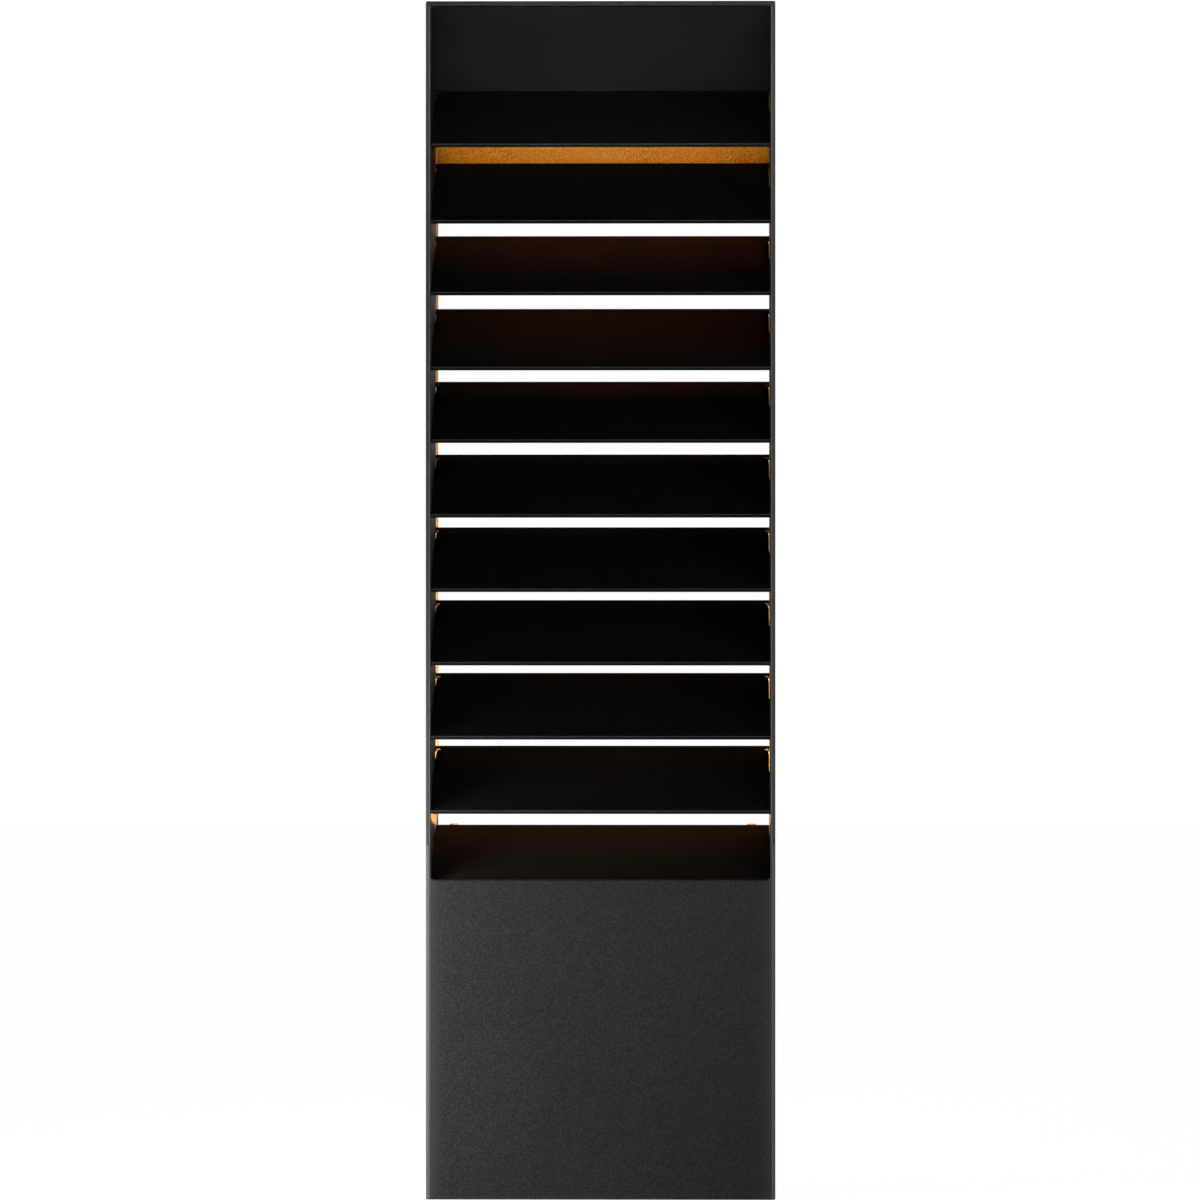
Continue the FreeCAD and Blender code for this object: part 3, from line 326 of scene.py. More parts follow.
def insideMasks(tree, place, look):
    # Painted shade on the inner walls behind the case's front edge, a painted highlight along the edge lines there and
    # below, and a painted highlight widening towards the left and right edges.
    x, y, z = splitPlace(tree, place)
    axes = {"x": mathStep(tree, "ABSOLUTE", x), "y": y, "z": z}
    mask = {name: rangeStep(tree, axes[axis], low, high) for name, (axis, low, high) in look["masks"].items()}
    window = product(tree, mask["above"], mask["below"])
    # Painted highlight along the window's inner rounding, and along the lower front edges.
    line = product(tree, mask["highlightStart"], mask["highlightEnd"], window)
    rim = product(tree, mask["rim"], mask["front"], mathStep(tree, "SUBTRACT", 1.0, mask["above"]))
    # A painted highlight on the front face, widening towards the left and right edges.
    wornAndHighlight = product(tree, mathStep(tree, "POWER", mask["side"], look["edgeHighlightPower"]), mask["front"])
    return product(tree, mask["within"], window), mathStep(tree, "MAXIMUM", line, rim), wornAndHighlight


def powderCoat(tree, place, look):
    grain = sandOf(tree, place, look)
    cast = rangeStep(tree, grain["Patch"], 0.0, 1.0, *look["cast"])
    if look.get("paintedLift"):
        # Painted light: paler towards the lower fold, where the top slat shades the fascia.
        paintedLiftFactor = rangeStep(tree, splitPlace(tree, place)["Z"], *look["paintedLift"])
        cast = product(tree, cast, paintedLiftFactor)
    speckled = mixStep(tree, grain["Speck"], look["dark"], look["light"])
    tone = vectorStep(tree, "SCALE", speckled)
    feed(tone, {"Scale": cast})
    gloss = rangeStep(tree, grain["Patch"], 0.0, 1.0, *look["rough"])
    layers = [(dustOf(tree, place, look), look["dustColour"])]
    # Rubbed paint along the outer edges, with a painted highlight on top of the wear.
    if look.get("rub"):
        low, high = (Vector(corner) for corner in cadBox)
        box = {"Centre": (low + high) / 2, "Half_Size": (high - low) / 2}
        layers.append((useGroup(tree, edgeRubAndHighlight, Place=place, Width=look["rub"], **box)[0], look["rubAndHighlightColour"]))
    # Painted light on the case: painted shade inside the window and painted highlights along the edges.
    if look.get("inside"):
        inside = look["inside"]
        paintedShade, line, wornAndHighlight = insideMasks(tree, place, inside)
        layers += [(wornAndHighlight, inside["edgeHighlightColour"]), (paintedShade, inside["colour"]), (line, inside["highlightColour"])]
        gloss = mathStep(tree, "ADD", gloss, product(tree, paintedShade, inside["duller"]))
    # Painted highlight along the slat noses.
    if look.get("nose"):
        layers.append((noseLine(tree, place, look["nose"]), look["nose"]["colour"]))
    colour = tone
    for mask, paint in layers:
        colour = mixStep(tree, mask, colour, paint)
    return grain["Height"], {"Base Color": colour, "Roughness": gloss}


caseLook = {
    "dark": (0.014, 0.0138, 0.0136), "light": (0.034, 0.0335, 0.033), "cast": (0.9, 1.08),
    "dustColour": (0.075, 0.073, 0.069), "dust": 0.35,
    "grain": 1550.0, "patch": 11.0, "depth": 0.00011, "bump": 0.6,
    "rough": (0.42, 0.51), "plain": {"Specular IOR Level": 0.17},
    # Edge rub: rubbed paint and a painted highlight along the outer edges.
    "rub": 0.0012, "rubAndHighlightColour": (0.1, 0.099, 0.097),
    # Painted light: near-black painted shade on the window's inner walls, and the colours of the painted highlights.
    "inside": {
        "colour": (0.0045, 0.0043, 0.0041), "duller": 0.22, "highlightColour": (0.11, 0.109, 0.107),
        "edgeHighlightColour": (0.055, 0.0545, 0.054), "edgeHighlightPower": 4.0,
        "masks": {  # along which axis, and from where to where, each of them rises
            "above": ("z", 0.1, 0.1005), "below": ("z", 0.5271, 0.5269), "within": ("x", 0.0866, 0.0864),
            "highlightStart": ("x", 0.08665, 0.08675), "highlightEnd": ("x", 0.0874, 0.0873),
            "rim": ("x", 0.08675, 0.0873), "side": ("x", 0.0713, 0.0889), "front": ("y", -0.0936, -0.1016),
        },
    },
}
slatLook = {
    "dark": (0.007, 0.007, 0.0069), "light": (0.0165, 0.0164, 0.0162), "cast": (0.9, 1.08),
    "dustColour": (0.012, 0.0118, 0.0112), "dust": 0.18,
    "grain": 2100.0, "patch": 16.0, "depth": 0.00008, "bump": 0.4,
    "rough": (0.64, 0.73), "plain": {"Specular IOR Level": 0.004},
    # Painted highlight: its colour and the band along the nose's upper corner.
    "nose": {
        "colour": (0.085, 0.084, 0.082), "band": (0.00155, 0.00175), "reach": (0.0011, 0.0006),
        "patches": (90.0, 5.0, 0.65), "broken": (0.25, 0.7, 0.5, 1.0),
    },
}
bareCoat = {**caseLook, "rub": 0.0, "inside": None, "bump": 0.3}
# The case's powder coat painted darker here as shade in the recess, and paler towards the fold as painted light.
fasciaShadedLook = {
    **bareCoat, "dark": (0.0094, 0.0093, 0.0092), "light": (0.0144, 0.0143, 0.0141),
    "plain": {"Specular IOR Level": 0.15}, "paintedLift": (0.489, 0.527, 2.0, 1.0),  # heights, and how pale there
}
# The case's powder coat painted darker here as shade.
sillShadedLook = {
    **bareCoat, "dark": (0.0062, 0.006, 0.0058), "light": (0.0105, 0.0102, 0.0098), "dust": 0.0,
    "rough": (0.62, 0.71), "plain": {"Specular IOR Level": 0.012},
}


def goldPaint(tree, place, look):
    grain = sandOf(tree, place, look)
    flakes = mixStep(tree, grain["Speck"], look["dark"], look["light"])
    colour = mixStep(tree, grain["Patch"], flakes, look["cloud"])
    metallic = rangeStep(tree, grain["Speck"], 0.0, 1.0, *look["metallic"])
    gloss = rangeStep(tree, grain["Patch"], 0.0, 1.0, *look["rough"])
    return grain["Height"], {"Base Color": colour, "Metallic": metallic, "Roughness": gloss}


goldLook = {
    "dark": (0.25, 0.13, 0.006), "light": (0.68, 0.39, 0.024), "cloud": (0.43, 0.24, 0.013),
    "grain": 1300.0, "patch": 30.0, "metallic": (0.1, 0.35), "rough": (0.42, 0.55),
    "depth": 0.00014, "bump": 0.7, "plain": {"Specular IOR Level": 0.35},
}


def brushedMetal(tree, place, look):
    streaks = noiseStep(tree, objectPlace(tree, look["stretch"]), *look["streaks"])
    stains = noiseStep(tree, place, *look["stains"])
    metal = mixStep(tree, rangeStep(tree, streaks, *look["middle"]), look["dark"], look["light"])
    colour = mixStep(tree, rangeStep(tree, stains, *look["stained"]), metal, look["stain"])
    gloss = rangeStep(tree, stains, *look["middle"], *look["rough"])
    return streaks, {"Base Color": colour, "Roughness": gloss}


metalBase = {
    "streaks": (900.0, 4.0, 0.6), "stains": (38.0, 5.0, 0.65), "middle": (0.3, 0.7), "stained": (0.52, 0.8, 0.0, 0.55),
    "plain": {"Metallic": 1.0}, "bump": 0.5, "depth": 0.00002,
}
aluminiumLook = {
    **metalBase, "stretch": (0.06, 1.0, 1.0), "dark": (0.52, 0.52, 0.53), "light": (0.70, 0.70, 0.71),
    "stain": (0.44, 0.43, 0.41), "rough": (0.28, 0.44), "depth": 0.00003,
}
zincLook = {
    **metalBase, "stretch": (1.0, 1.0, 0.4), "dark": (0.50, 0.50, 0.49), "light": (0.72, 0.71, 0.68),
    "stain": (0.42, 0.40, 0.34), "rough": (0.24, 0.42),
}
blackSteelLook = {
    **metalBase, "stretch": (1.0, 1.0, 1.0), "dark": (0.018, 0.018, 0.019), "light": (0.045, 0.045, 0.047),
    "stain": (0.06, 0.052, 0.045), "rough": (0.32, 0.5),
}


def galvanised(tree, place, look):
    crystals = addNode(tree, "ShaderNodeTexVoronoi", {"Vector": place, "Scale": look["spangle"]})
    tint = addNode(tree, "ShaderNodeSeparateColor", [crystals.outputs["Color"]]).outputs
    frost = rangeStep(tree, noiseStep(tree, place, *look["frost"]), *look["frosted"])
    facet = product(tree, tint[0], frost)
    colour = mixStep(tree, facet, look["dark"], look["light"])
    gloss = rangeStep(tree, tint[1], 0.0, 1.0, *look["rough"])
    return facet, {"Base Color": colour, "Roughness": gloss}


galvanisedLook = {
    "spangle": 210.0, "frost": (420.0, 5.0, 0.7), "frosted": (0.3, 0.7, 0.7, 1.0),
    "dark": (0.47, 0.48, 0.49), "light": (0.60, 0.61, 0.62), "rough": (0.3, 0.52),
    "depth": 0.00003, "bump": 0.4, "plain": {"Metallic": 0.95},
}


def mouldedPlastic(tree, place, look):
    grain = sandOf(tree, place, look)
    base = mixStep(tree, grain["Patch"], look["dark"], look["light"])
    colour = mixStep(tree, dustOf(tree, place, look), base, look["dustColour"])
    gloss = rangeStep(tree, grain["Patch"], 0.0, 1.0, look["rough"], look["rough"] + look["roughSpread"])
    return grain["Height"], {"Base Color": colour, "Roughness": gloss, "Specular IOR Level": look["sheen"]}


plasticBase = {"patch": 28.0, "dust": 0.3, "depth": 0.00005, "bump": 0.5, "roughSpread": 0.12, "sheen": 0.4}
plasticLooks = {
    "White nylon": {"dark": (0.66, 0.65, 0.61), "light": (0.76, 0.75, 0.72), "dustColour": (0.5, 0.48, 0.44),
                    "grain": 1500.0, "rough": 0.4},
    "Driver shell": {"dark": (0.70, 0.70, 0.69), "light": (0.78, 0.78, 0.77), "dustColour": (0.5, 0.48, 0.45),
                     "dust": 0.45, "grain": 900.0, "depth": 0.0001, "rough": 0.46, "sheen": 0.35},
    "Grey gland": {"dark": (0.16, 0.165, 0.17), "light": (0.21, 0.215, 0.22), "dustColour": (0.3, 0.29, 0.27),
                   "grain": 1200.0, "rough": 0.42},
    "Lead sheath": {"dark": (0.62, 0.62, 0.60), "light": (0.70, 0.70, 0.68), "dustColour": (0.45, 0.43, 0.4),
                    "dust": 0.25, "grain": 1800.0, "depth": 0.00003, "rough": 0.38},
    "Rubber": {"dark": (0.012, 0.012, 0.012), "light": (0.028, 0.027, 0.026), "dustColour": (0.11, 0.105, 0.1),
               "dust": 0.5, "grain": 1000.0, "depth": 0.00008, "rough": 0.62, "sheen": 0.25},
    "Chip frame": {"dark": (0.74, 0.73, 0.69), "light": (0.82, 0.81, 0.78), "dustColour": (0.6, 0.57, 0.5),
                   "dust": 0.1, "grain": 2600.0, "depth": 0.00002, "rough": 0.35},
}


def cellFoam(tree, place, look):
    feeds = {"Vector": place, "Scale": look["cells"]}
    edges = addNode(tree, "ShaderNodeTexVoronoi", feeds, feature="DISTANCE_TO_EDGE")
    walls = rangeStep(tree, edges, 0.0, look["thick"])
    uneven = rangeStep(tree, noiseStep(tree, place, *look["patches"]), *look["rubbed"])
    colour = mixStep(tree, uneven, mixStep(tree, walls, look["wall"], look["cell"]), look["wornAndHighlight"])
    gloss = rangeStep(tree, walls, 0.0, 1.0, *look["rough"])
    height = mathStep(tree, "SUBTRACT", 1.0, walls)
    return height, {"Base Color": colour, "Roughness": gloss}


foamLook = {
    "cells": 900.0, "thick": 0.22, "patches": (60.0, 4.0, 0.6), "rubbed": (0.4, 0.8, 0.0, 0.4),
    "wall": (0.055, 0.054, 0.053), "cell": (0.013, 0.013, 0.013), "wornAndHighlight": (0.07, 0.067, 0.063),
    "rough": (0.7, 0.95), "depth": 0.0004, "bump": 0.8, "plain": {"Specular IOR Level": 0.15},
}


def frostedLens(tree, place, look):
    along = mathStep(tree, "ADD", splitPlace(tree, place)["X"], look["firstChip"])
    phase = product(tree, along, math.tau / look["chipPitch"])
    beads = rangeStep(tree, mathStep(tree, "COSINE", phase), -1.0, 1.0, look["between"], 1.0)
    haze = noiseStep(tree, place, *look["haze"])
    colour = mixStep(tree, haze, look["dark"], look["light"])
    glow = mixStep(tree, beads, look["edgeGlow"], look["chipGlow"])
    return haze, {"Base Color": colour, "Emission Color": glow}


lensLook = {
    "firstChip": 0.066286, "chipPitch": 0.0094286, "between": 0.8, "chipGlow": (1.0, 0.60, 0.24),
    "edgeGlow": (0.92, 0.50, 0.17), "dark": (0.78, 0.76, 0.70), "light": (0.88, 0.86, 0.80),
    "haze": (700.0, 3.0, 0.6), "depth": 0.00004, "bump": 0.5, "plain": {"Roughness": 0.55, "Emission Strength": 4.0},
}


def boardMask(tree, place, look):
    # Two copper runs under the mask, left and right of the chips' middle line.
    fromMiddle = mathStep(tree, "ADD", splitPlace(tree, place)["Y"], look["middle"])
    across = mathStep(tree, "ABSOLUTE", fromMiddle)
    run = product(tree, rangeStep(tree, across, *look["runInside"]), rangeStep(tree, across, *look["runOutside"]))
    weave = noiseStep(tree, place, *look["weave"])
    colour = mixStep(tree, run, mixStep(tree, weave, look["dark"], look["light"]), look["copper"])
    height = mathStep(tree, "ADD", run, product(tree, weave, look["weaveHeight"]))
    return height, {"Base Color": colour}


boardLook = {
    "middle": 0.0245, "runInside": (0.0034, 0.0037), "runOutside": (0.0066, 0.0063),
    "weave": (1600.0, 3.0, 0.6), "weaveHeight": 0.3,
    "dark": (0.74, 0.74, 0.71), "light": (0.82, 0.82, 0.80), "copper": (0.62, 0.60, 0.52),
    "depth": 0.00004, "bump": 0.8, "plain": {"Roughness": 0.3},
}


def phosphor(tree, place, look):
    grit = noiseStep(tree, place, *look["grit"])
    colour, glow = mixStep(tree, grit, *look["gel"]), mixStep(tree, grit, *look["glow"])
    return grit, {"Base Color": colour, "Emission Color": glow}


phosphorLook = {
    "gel": ((0.72, 0.50, 0.08), (0.86, 0.66, 0.16)), "glow": ((0.9, 0.55, 0.2), (1.0, 0.68, 0.3)),
    "grit": (2400.0, 3.0, 0.6), "depth": 0.00002, "bump": 0.5, "plain": {"Roughness": 0.28, "Emission Strength": 2.0},
}


def greenPaint(tree, place, look):
    chips = noiseStep(tree, place, *look["chips"])
    wornAndHighlight = rangeStep(tree, chips, *look["bare"])
    colour = mixStep(tree, wornAndHighlight, mixStep(tree, chips, look["dark"], look["light"]), look["metal"])
    gloss = rangeStep(tree, wornAndHighlight, 0.0, 1.0, *look["rough"])
    height = mathStep(tree, "SUBTRACT", 1.0, wornAndHighlight)
    return height, {"Base Color": colour, "Metallic": wornAndHighlight, "Roughness": gloss}


greenLook = {
    "dark": (0.010, 0.16, 0.045), "light": (0.02, 0.26, 0.08), "metal": (0.55, 0.55, 0.53), "bare": (0.60, 0.68),
    "chips": (900.0, 5.0, 0.7), "rough": (0.4, 0.28), "depth": 0.00004, "bump": 0.7,
    "plain": {"Specular IOR Level": 0.45},
}

recipes = {
    "powder_coat": ("Sand powder coat", powderCoat, caseLook),
    "slat_coat": ("Slat coat", powderCoat, slatLook),
    "gold_coat": ("Gold paint", goldPaint, goldLook),
    "heat_sink": ("Mill aluminium", brushedMetal, aluminiumLook),
    "zinc_steel": ("Zinc plate", brushedMetal, zincLook),
    "black_steel": ("Blackened steel", brushedMetal, blackSteelLook),
    "plate_steel": ("Galvanised sheet", galvanised, galvanisedLook),
    "lens_white": ("Frosted lens", frostedLens, lensLook),
    "board_white": ("White solder mask", boardMask, boardLook),
    "chip_yellow": ("Phosphor gel", phosphor, phosphorLook),
    "foam_black": ("Cell foam", cellFoam, foamLook),
    "earth_green": ("Green screw paint", greenPaint, greenLook),
}
finishes = {slotName: makeFinish(*recipe) for slotName, recipe in recipes.items()}
plastics = {name: makeFinish(name, mouldedPlastic, {**plasticBase, **look}) for name, look in plasticLooks.items()}
for slotName, name in (("rubber_black", "Rubber"), ("driver_white", "Driver shell"), ("lead_white", "Lead sheath"),
                       ("gland_grey", "Grey gland"), ("plug_white", "White nylon")):
    finishes[slotName] = plastics[name]
for name, node in cadNodes.items():
    for place in node.material_slots:
        place.material = finishes[nodeSlots[name]]
# The sill takes a darker copy of the case's coat, as painted shade.
cadNodes["sill_plate"].material_slots[0].material = makeFinish("Sill coat", powderCoat, sillShadedLook)
print("finishes ready:", len(finishes), "on", len(cadNodes), "CAD nodes")

# Meshes in millimetres, and the Geometry Nodes that set copies of them out.

meshLook = {"sharp": 32, "bevelAngle": 40, "weld": 2e-6}  # degrees, degrees and metres


def newMesh(name, points, faces, *materials, sharp=meshLook["sharp"]):
    mesh = bpy.data.meshes.new(name)
    mesh.from_pydata([[value / 1000 for value in point] for point in points], [], faces)
    mesh.validate()
    for material in materials:
        mesh.materials.append(material)
    mesh.shade_smooth()
    mesh.set_sharp_from_angle(angle=math.radians(sharp))
    return addToScene(name, mesh)


def tidyMesh(piece, weld=True):
    form = bmesh.new()
    form.from_mesh(piece.data)
    if weld:
        bmesh.ops.remove_doubles(form, verts=form.verts, dist=meshLook["weld"])
    bmesh.ops.recalc_face_normals(form, faces=form.faces)
    form.to_mesh(piece.data)
    form.free()
    return piece


def applyModifiers(piece):
    bpy.context.view_layer.update()
    graph = bpy.context.evaluated_depsgraph_get()
    mesh = bpy.data.meshes.new_from_object(piece.evaluated_get(graph), depsgraph=graph)
    piece.modifiers.clear()
    piece.data = mesh


def modify(piece, kind, **values):
    modifier = piece.modifiers.new(kind.capitalize(), kind)
    for name, value in values.items():
        setattr(modifier, name, value)
    applyModifiers(piece)


def roundEdges(piece, width, segments=2, angle=meshLook["bevelAngle"]):
    limit = math.radians(angle)
    modify(piece, "BEVEL", width=width / 1000, segments=segments, limit_method="ANGLE", angle_limit=limit)


def settle(piece, slotName, *nodes):
    # The piece stands for the CAD nodes that are given, or else for the one of its own name.
    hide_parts(*(nodes or [piece.name.lower()]))
    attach(piece, "root")
    print(piece.name + ":", len(piece.data.polygons), "faces")


def ring(radii, heights):
    # Points round Z at even angles, with a radius and a height for each.
    turn = math.tau / len(radii)
    return [(radius * math.cos(turn * index), radius * math.sin(turn * index), height)
            for index, (radius, height) in enumerate(zip(radii, heights))]


def loft(rings, closed=False, capped=False):
    # Faces from each ring of points to the next, then back to the first ring or over both ends.
    count, points = len(rings[0]), [point for ringPoints in rings for point in ringPoints]
    faces = []
    for low in range(0, len(points) if closed else len(points) - count, count):
        high = (low + count) % len(points)
        for index in range(count):
            after = (index + 1) % count
            faces.append([low + index, low + after, high + after, high + index])
    if capped:
        faces += [list(range(count))[::-1], list(range(len(points) - count, len(points)))]
    return points, faces


def joined(*solids):
    points, faces = [], []
    for morePoints, moreFaces in solids:
        faces += [[index + len(points) for index in face] for face in moreFaces]
        points += morePoints
    return points, faces


def applyRule(piece, tree, **values):
    rule = piece.modifiers.new(tree.name, "NODES")
    rule.node_group = tree
    for item in tree.interface.items_tree:
        label = item.name.replace(" ", "_")
        if item.in_out == "INPUT" and label in values:
            rule[item.identifier] = values[label]
    applyModifiers(piece)


def newRule(name, **inputs):
    named = {label.replace("_", " "): value for label, value in inputs.items()}
    sockets = {"Geometry": "Geometry", **named, "Material": "Material"}
    return newTree("GeometryNodeTree", name, sockets, {"Geometry": "Geometry"})


def finishRule(tree, copies, source, sink):
    solid = addNode(tree, "GeometryNodeRealizeInstances", [copies])
    feed(sink, [addNode(tree, "GeometryNodeSetMaterial", {"Geometry": solid, "Material": source["Material"]})])
    return tree


def rowRule():
    # Copies of the incoming piece in one straight row: slats up the case, chips along the board.
    tree, source, sink = newRule("Even row", Count=10, Step=(0.0, 0.0, 0.0377))
    feeds = {"Count": source["Count"], "Offset": source["Step"]}
    row = addNode(tree, "GeometryNodeMeshLine", feeds, mode="OFFSET", count_mode="TOTAL")
    copies = addNode(tree, "GeometryNodeInstanceOnPoints", {"Points": row, "Instance": source["Geometry"]})
    return finishRule(tree, copies, source, sink)


def placesRule():
    # A fastener at every point of a list, its own Z axis turned along the point's "facing".
    tree, source, sink = newRule("Set at places", Fastener="Object", Turn_Seed=3)
    facing = addNode(tree, "GeometryNodeInputNamedAttribute", {"Name": "facing"}, data_type="FLOAT_VECTOR")
    lean = addNode(tree, "FunctionNodeAlignRotationToVector", {"Vector": facing}, axis="Z")
    feeds = {"Max": math.tau, "Seed": source["Turn Seed"]}
    spin = addNode(tree, "FunctionNodeRandomValue", feeds, data_type="FLOAT")
    about = addNode(tree, "FunctionNodeAxisAngleToRotation", {"Axis": (0.0, 0.0, 1.0), "Angle": spin.outputs[1]})
    turn = addNode(tree, "FunctionNodeRotateRotation", (lean, about), rotation_space="LOCAL")
    part = addNode(tree, "GeometryNodeObjectInfo", {"Object": source["Fastener"]}, transform_space="ORIGINAL")
    feeds = {"Points": source["Geometry"], "Instance": part.outputs["Geometry"], "Rotation": turn}
    return finishRule(tree, addNode(tree, "GeometryNodeInstanceOnPoints", feeds), source, sink)


evenRow, setAtPlaces = rowRule(), placesRule()

# The louvre: one slat sheet with a round nose and bent ears, then ten of them up the case.

slat = {
    "count": 10, "pitch": 37.7, "rise": 32.0, "run": 68.07, "gauge": 2.0,
    "halfWidth": 86.1, "flatHalfWidth": 86.36, "frontY": -100.8, "lowestZ": 115.8,
    "earLength": 24.0, "earDrop": 12.5, "earFromRear": 5.0, "relief": 1.5,
    "bend": 2.4, "bendSteps": 5, "slotHalf": 2.2, "slotTop": -4.6, "noseSteps": 8, "edgeRound": 0.25,
    "noseDrops": (0.1, 1.3, 0.1, 0.55, -0.25, 0.05, 0.2, -0.15, -0.15, -0.05),  # from the top slat down
    "dropCurve": 1.4,
}
slope = math.atan(slat["rise"] / slat["run"])


def slatColumns(look, side):
    # Across one half of the slat: place, height and facing of its middle surface, out to the ear's foot.
    nose = look["gauge"] / 2
    radius, outer = look["bend"] - nose, look["halfWidth"] - nose
    columns = []
    for step in range(look["bendSteps"] + 1):
        angle = math.pi / 2 * step / look["bendSteps"]
        across, up = math.sin(angle), math.cos(angle)
        columns.append((outer - radius + radius * across, nose - radius + radius * up, across, up))
    columns += [(outer, look["slotTop"], 1.0, 0.0), (outer, -look["earDrop"], 1.0, 0.0)]
    return [(side * x, z, side * across, up) for x, z, across, up in columns]


def slatQuads(look, rowCount):
    # Which two columns each face of the middle surface lies between, and in which row.
    earRows, slotRow, reliefRows = (2, 3, 4), 3, (1, 5)
    left, right = slatColumns(look, -1), slatColumns(look, 1)
    quads = []
    for row in range(rowCount):
        quads.append((left[0], right[0], row))
        for side, columns in ((-1, left), (1, right)):
            spans = []
            if row in earRows:
                spans = list(zip(columns, columns[1:]))[:-1 if row == slotRow else None]
            elif row not in reliefRows:
                spans = [(columns[0], (side * look["flatHalfWidth"], *columns[0][1:]))]
            quads += [(*span[::side], row) for span in spans]
    return quads


def makeSlatSheet(look):
    nose, length = look["gauge"] / 2, math.hypot(look["rise"], look["run"])
    earRear = length - look["earFromRear"]
    earFront = earRear - look["earLength"]
    slotMiddle = (earFront + earRear) / 2
    rows = [nose, earFront - look["relief"], earFront, slotMiddle - look["slotHalf"]]
    rows += [slotMiddle + look["slotHalf"], earRear, earRear + look["relief"], length]
    points, faces, pairs, borders, runs = [], [], {}, {}, {}

    def pairAt(column, row):
        # Points above and below the middle surface, kept once for each place.
        if (column, row) not in pairs:
            x, z, across, up = column
            pairs[column, row] = (len(points), len(points) + 1)
            points.extend((x + way * across, rows[row], z + way * up) for way in (nose, -nose))
        return pairs[column, row]

    def edgeRun(pair):
        # From a pair's upper point to its lower one, by the half circle of the nose on the front edge.
        if pair not in runs:
            x, y, z = points[pair[0]]
            runs[pair] = [pair[0]]
            for step in range(1, look["noseSteps"] if y == nose else 1):
                angle = math.pi * step / look["noseSteps"]
                runs[pair].append(len(points))
                points.append((x, y - nose * math.sin(angle), z - nose + nose * math.cos(angle)))
            runs[pair].append(pair[1])
        return runs[pair]

    for first, second, row in slatQuads(look, len(rows) - 1):
        places = ((first, row), (second, row), (second, row + 1), (first, row + 1))
        corners = [pairAt(*place) for place in places]
        faces += [[upper for upper, lower in corners], [lower for upper, lower in reversed(corners)]]
        for start, end in zip(corners, corners[1:] + corners[:1]):
            if not borders.pop((end, start), False):
                borders[start, end] = True
    for start, end in borders:
        first, second = edgeRun(start), edgeRun(end)
        if len(first) != len(second):
            faces.append(first + second[::-1])
            continue
        for step in range(len(first) - 1):
            faces.append([first[step], first[step + 1], second[step + 1], second[step]])
    placed = [(x, look["frontY"] + along * math.cos(slope) - up * math.sin(slope),
               look["lowestZ"] + along * math.sin(slope) + up * math.cos(slope)) for x, along, up in points]
    return newMesh("Louvre", placed, faces, finishes["slat_coat"])


def keepPlaces(piece, look):
    # Every point remembers where it lies across its own slat's nose, in metres from the nose's lowest edge.
    own = piece.data.attributes.new("slatPlace", "FLOAT_VECTOR", "POINT")
    for index, vertex in enumerate(piece.data.vertices):
        y, z = vertex.co.y - look["frontY"] / 1000, vertex.co.z - look["lowestZ"] / 1000
        along, up = y * math.cos(slope) + z * math.sin(slope), z * math.cos(slope) - y * math.sin(slope)
        own.data[index].vector = (vertex.co.x, along, up)


def settleNoses(piece, look):
    # Slats sit by eye, so each nose hangs a little higher or lower than the even row gives.
    each = len(piece.data.vertices) // look["count"]
    for index, vertex in enumerate(piece.data.vertices):
        along = (vertex.co.y * 1000 - look["frontY"]) / look["run"]
        drop = look["noseDrops"][look["count"] - 1 - index // each]
        vertex.co.z -= drop / 1000 * max(0.0, 1 - along) ** look["dropCurve"]


louvre = makeSlatSheet(slat)
roundEdges(louvre, slat["edgeRound"])
keepPlaces(louvre, slat)
applyRule(louvre, evenRow, Count=slat["count"], Step=(0, 0, slat["pitch"] / 1000), Material=finishes["slat_coat"])
settleNoses(louvre, slat)
settle(louvre, "slat_coat", *(f"slat_{number:02d}" for number in range(1, 11)))

# Fasteners: turned and hexagonal templates, set out at their places by the places rule.


def turned(profile, sides):
    # A closed outline of radius and height, turned about Z; the points at a pole are welded later.
    return loft([ring([radius] * sides, [height] * sides) for radius, height in profile])


def threadProfile(root, crest, start, end, pitch):
    # The zigzag flank of a rolled thread from one height to the other.
    count = max(1, round(abs(end - start) / pitch))
    step = (end - start) / count
    shape = ((root, 0.1), (crest, 0.42), (crest, 0.58), (root, 0.9))
    return [(radius, start + (index + share) * step) for index in range(count) for radius, share in shape]


def hexagonRadii(across, count, turn=0.0):
    # How far a hexagon of the given width reaches at even angles.
    angles = [(math.tau * index / count + turn) % (math.pi / 3) - math.pi / 6 for index in range(count)]
    return [across / 2 / math.cos(angle) for angle in angles]


def makeTemplate(name, solid, slotName, sharp=meshLook["sharp"]):
    return tidyMesh(newMesh(name, *solid, finishes[slotName], sharp=sharp))


def prism(outline, low, high, taper=1.0):
    # A straight or tapered prism on an outline of (x, y) points.
    rings = [(x * taper, y * taper, low) for x, y in outline], [(x, y, high) for x, y in outline]
    return loft(rings, capped=True)


def hexagon(across):
    return [point[:2] for point in ring([across / math.sqrt(3)] * 6, [0.0] * 6)]


def crossOutline(width, length):
    half, tip = width / 2, length / 2
    corner = [(half, half), (tip, half), (tip, -half), (half, -half), (half, -tip), (-half, -tip)]
    return [(x, y) for x, y in reversed(corner + [(-x, -y) for x, y in corner])]


def combine(piece, tool, operation):
    modify(piece, "BOOLEAN", object=tool, operation=operation, solver="EXACT")
    bpy.data.objects.remove(tool)


def cutFrom(piece, *shape):
    combine(piece, tidyMesh(newMesh("Cutter", *prism(*shape))), "DIFFERENCE")
    tidyMesh(piece)
    piece.data.set_sharp_from_angle(angle=math.radians(meshLook["sharp"]))
    return piece


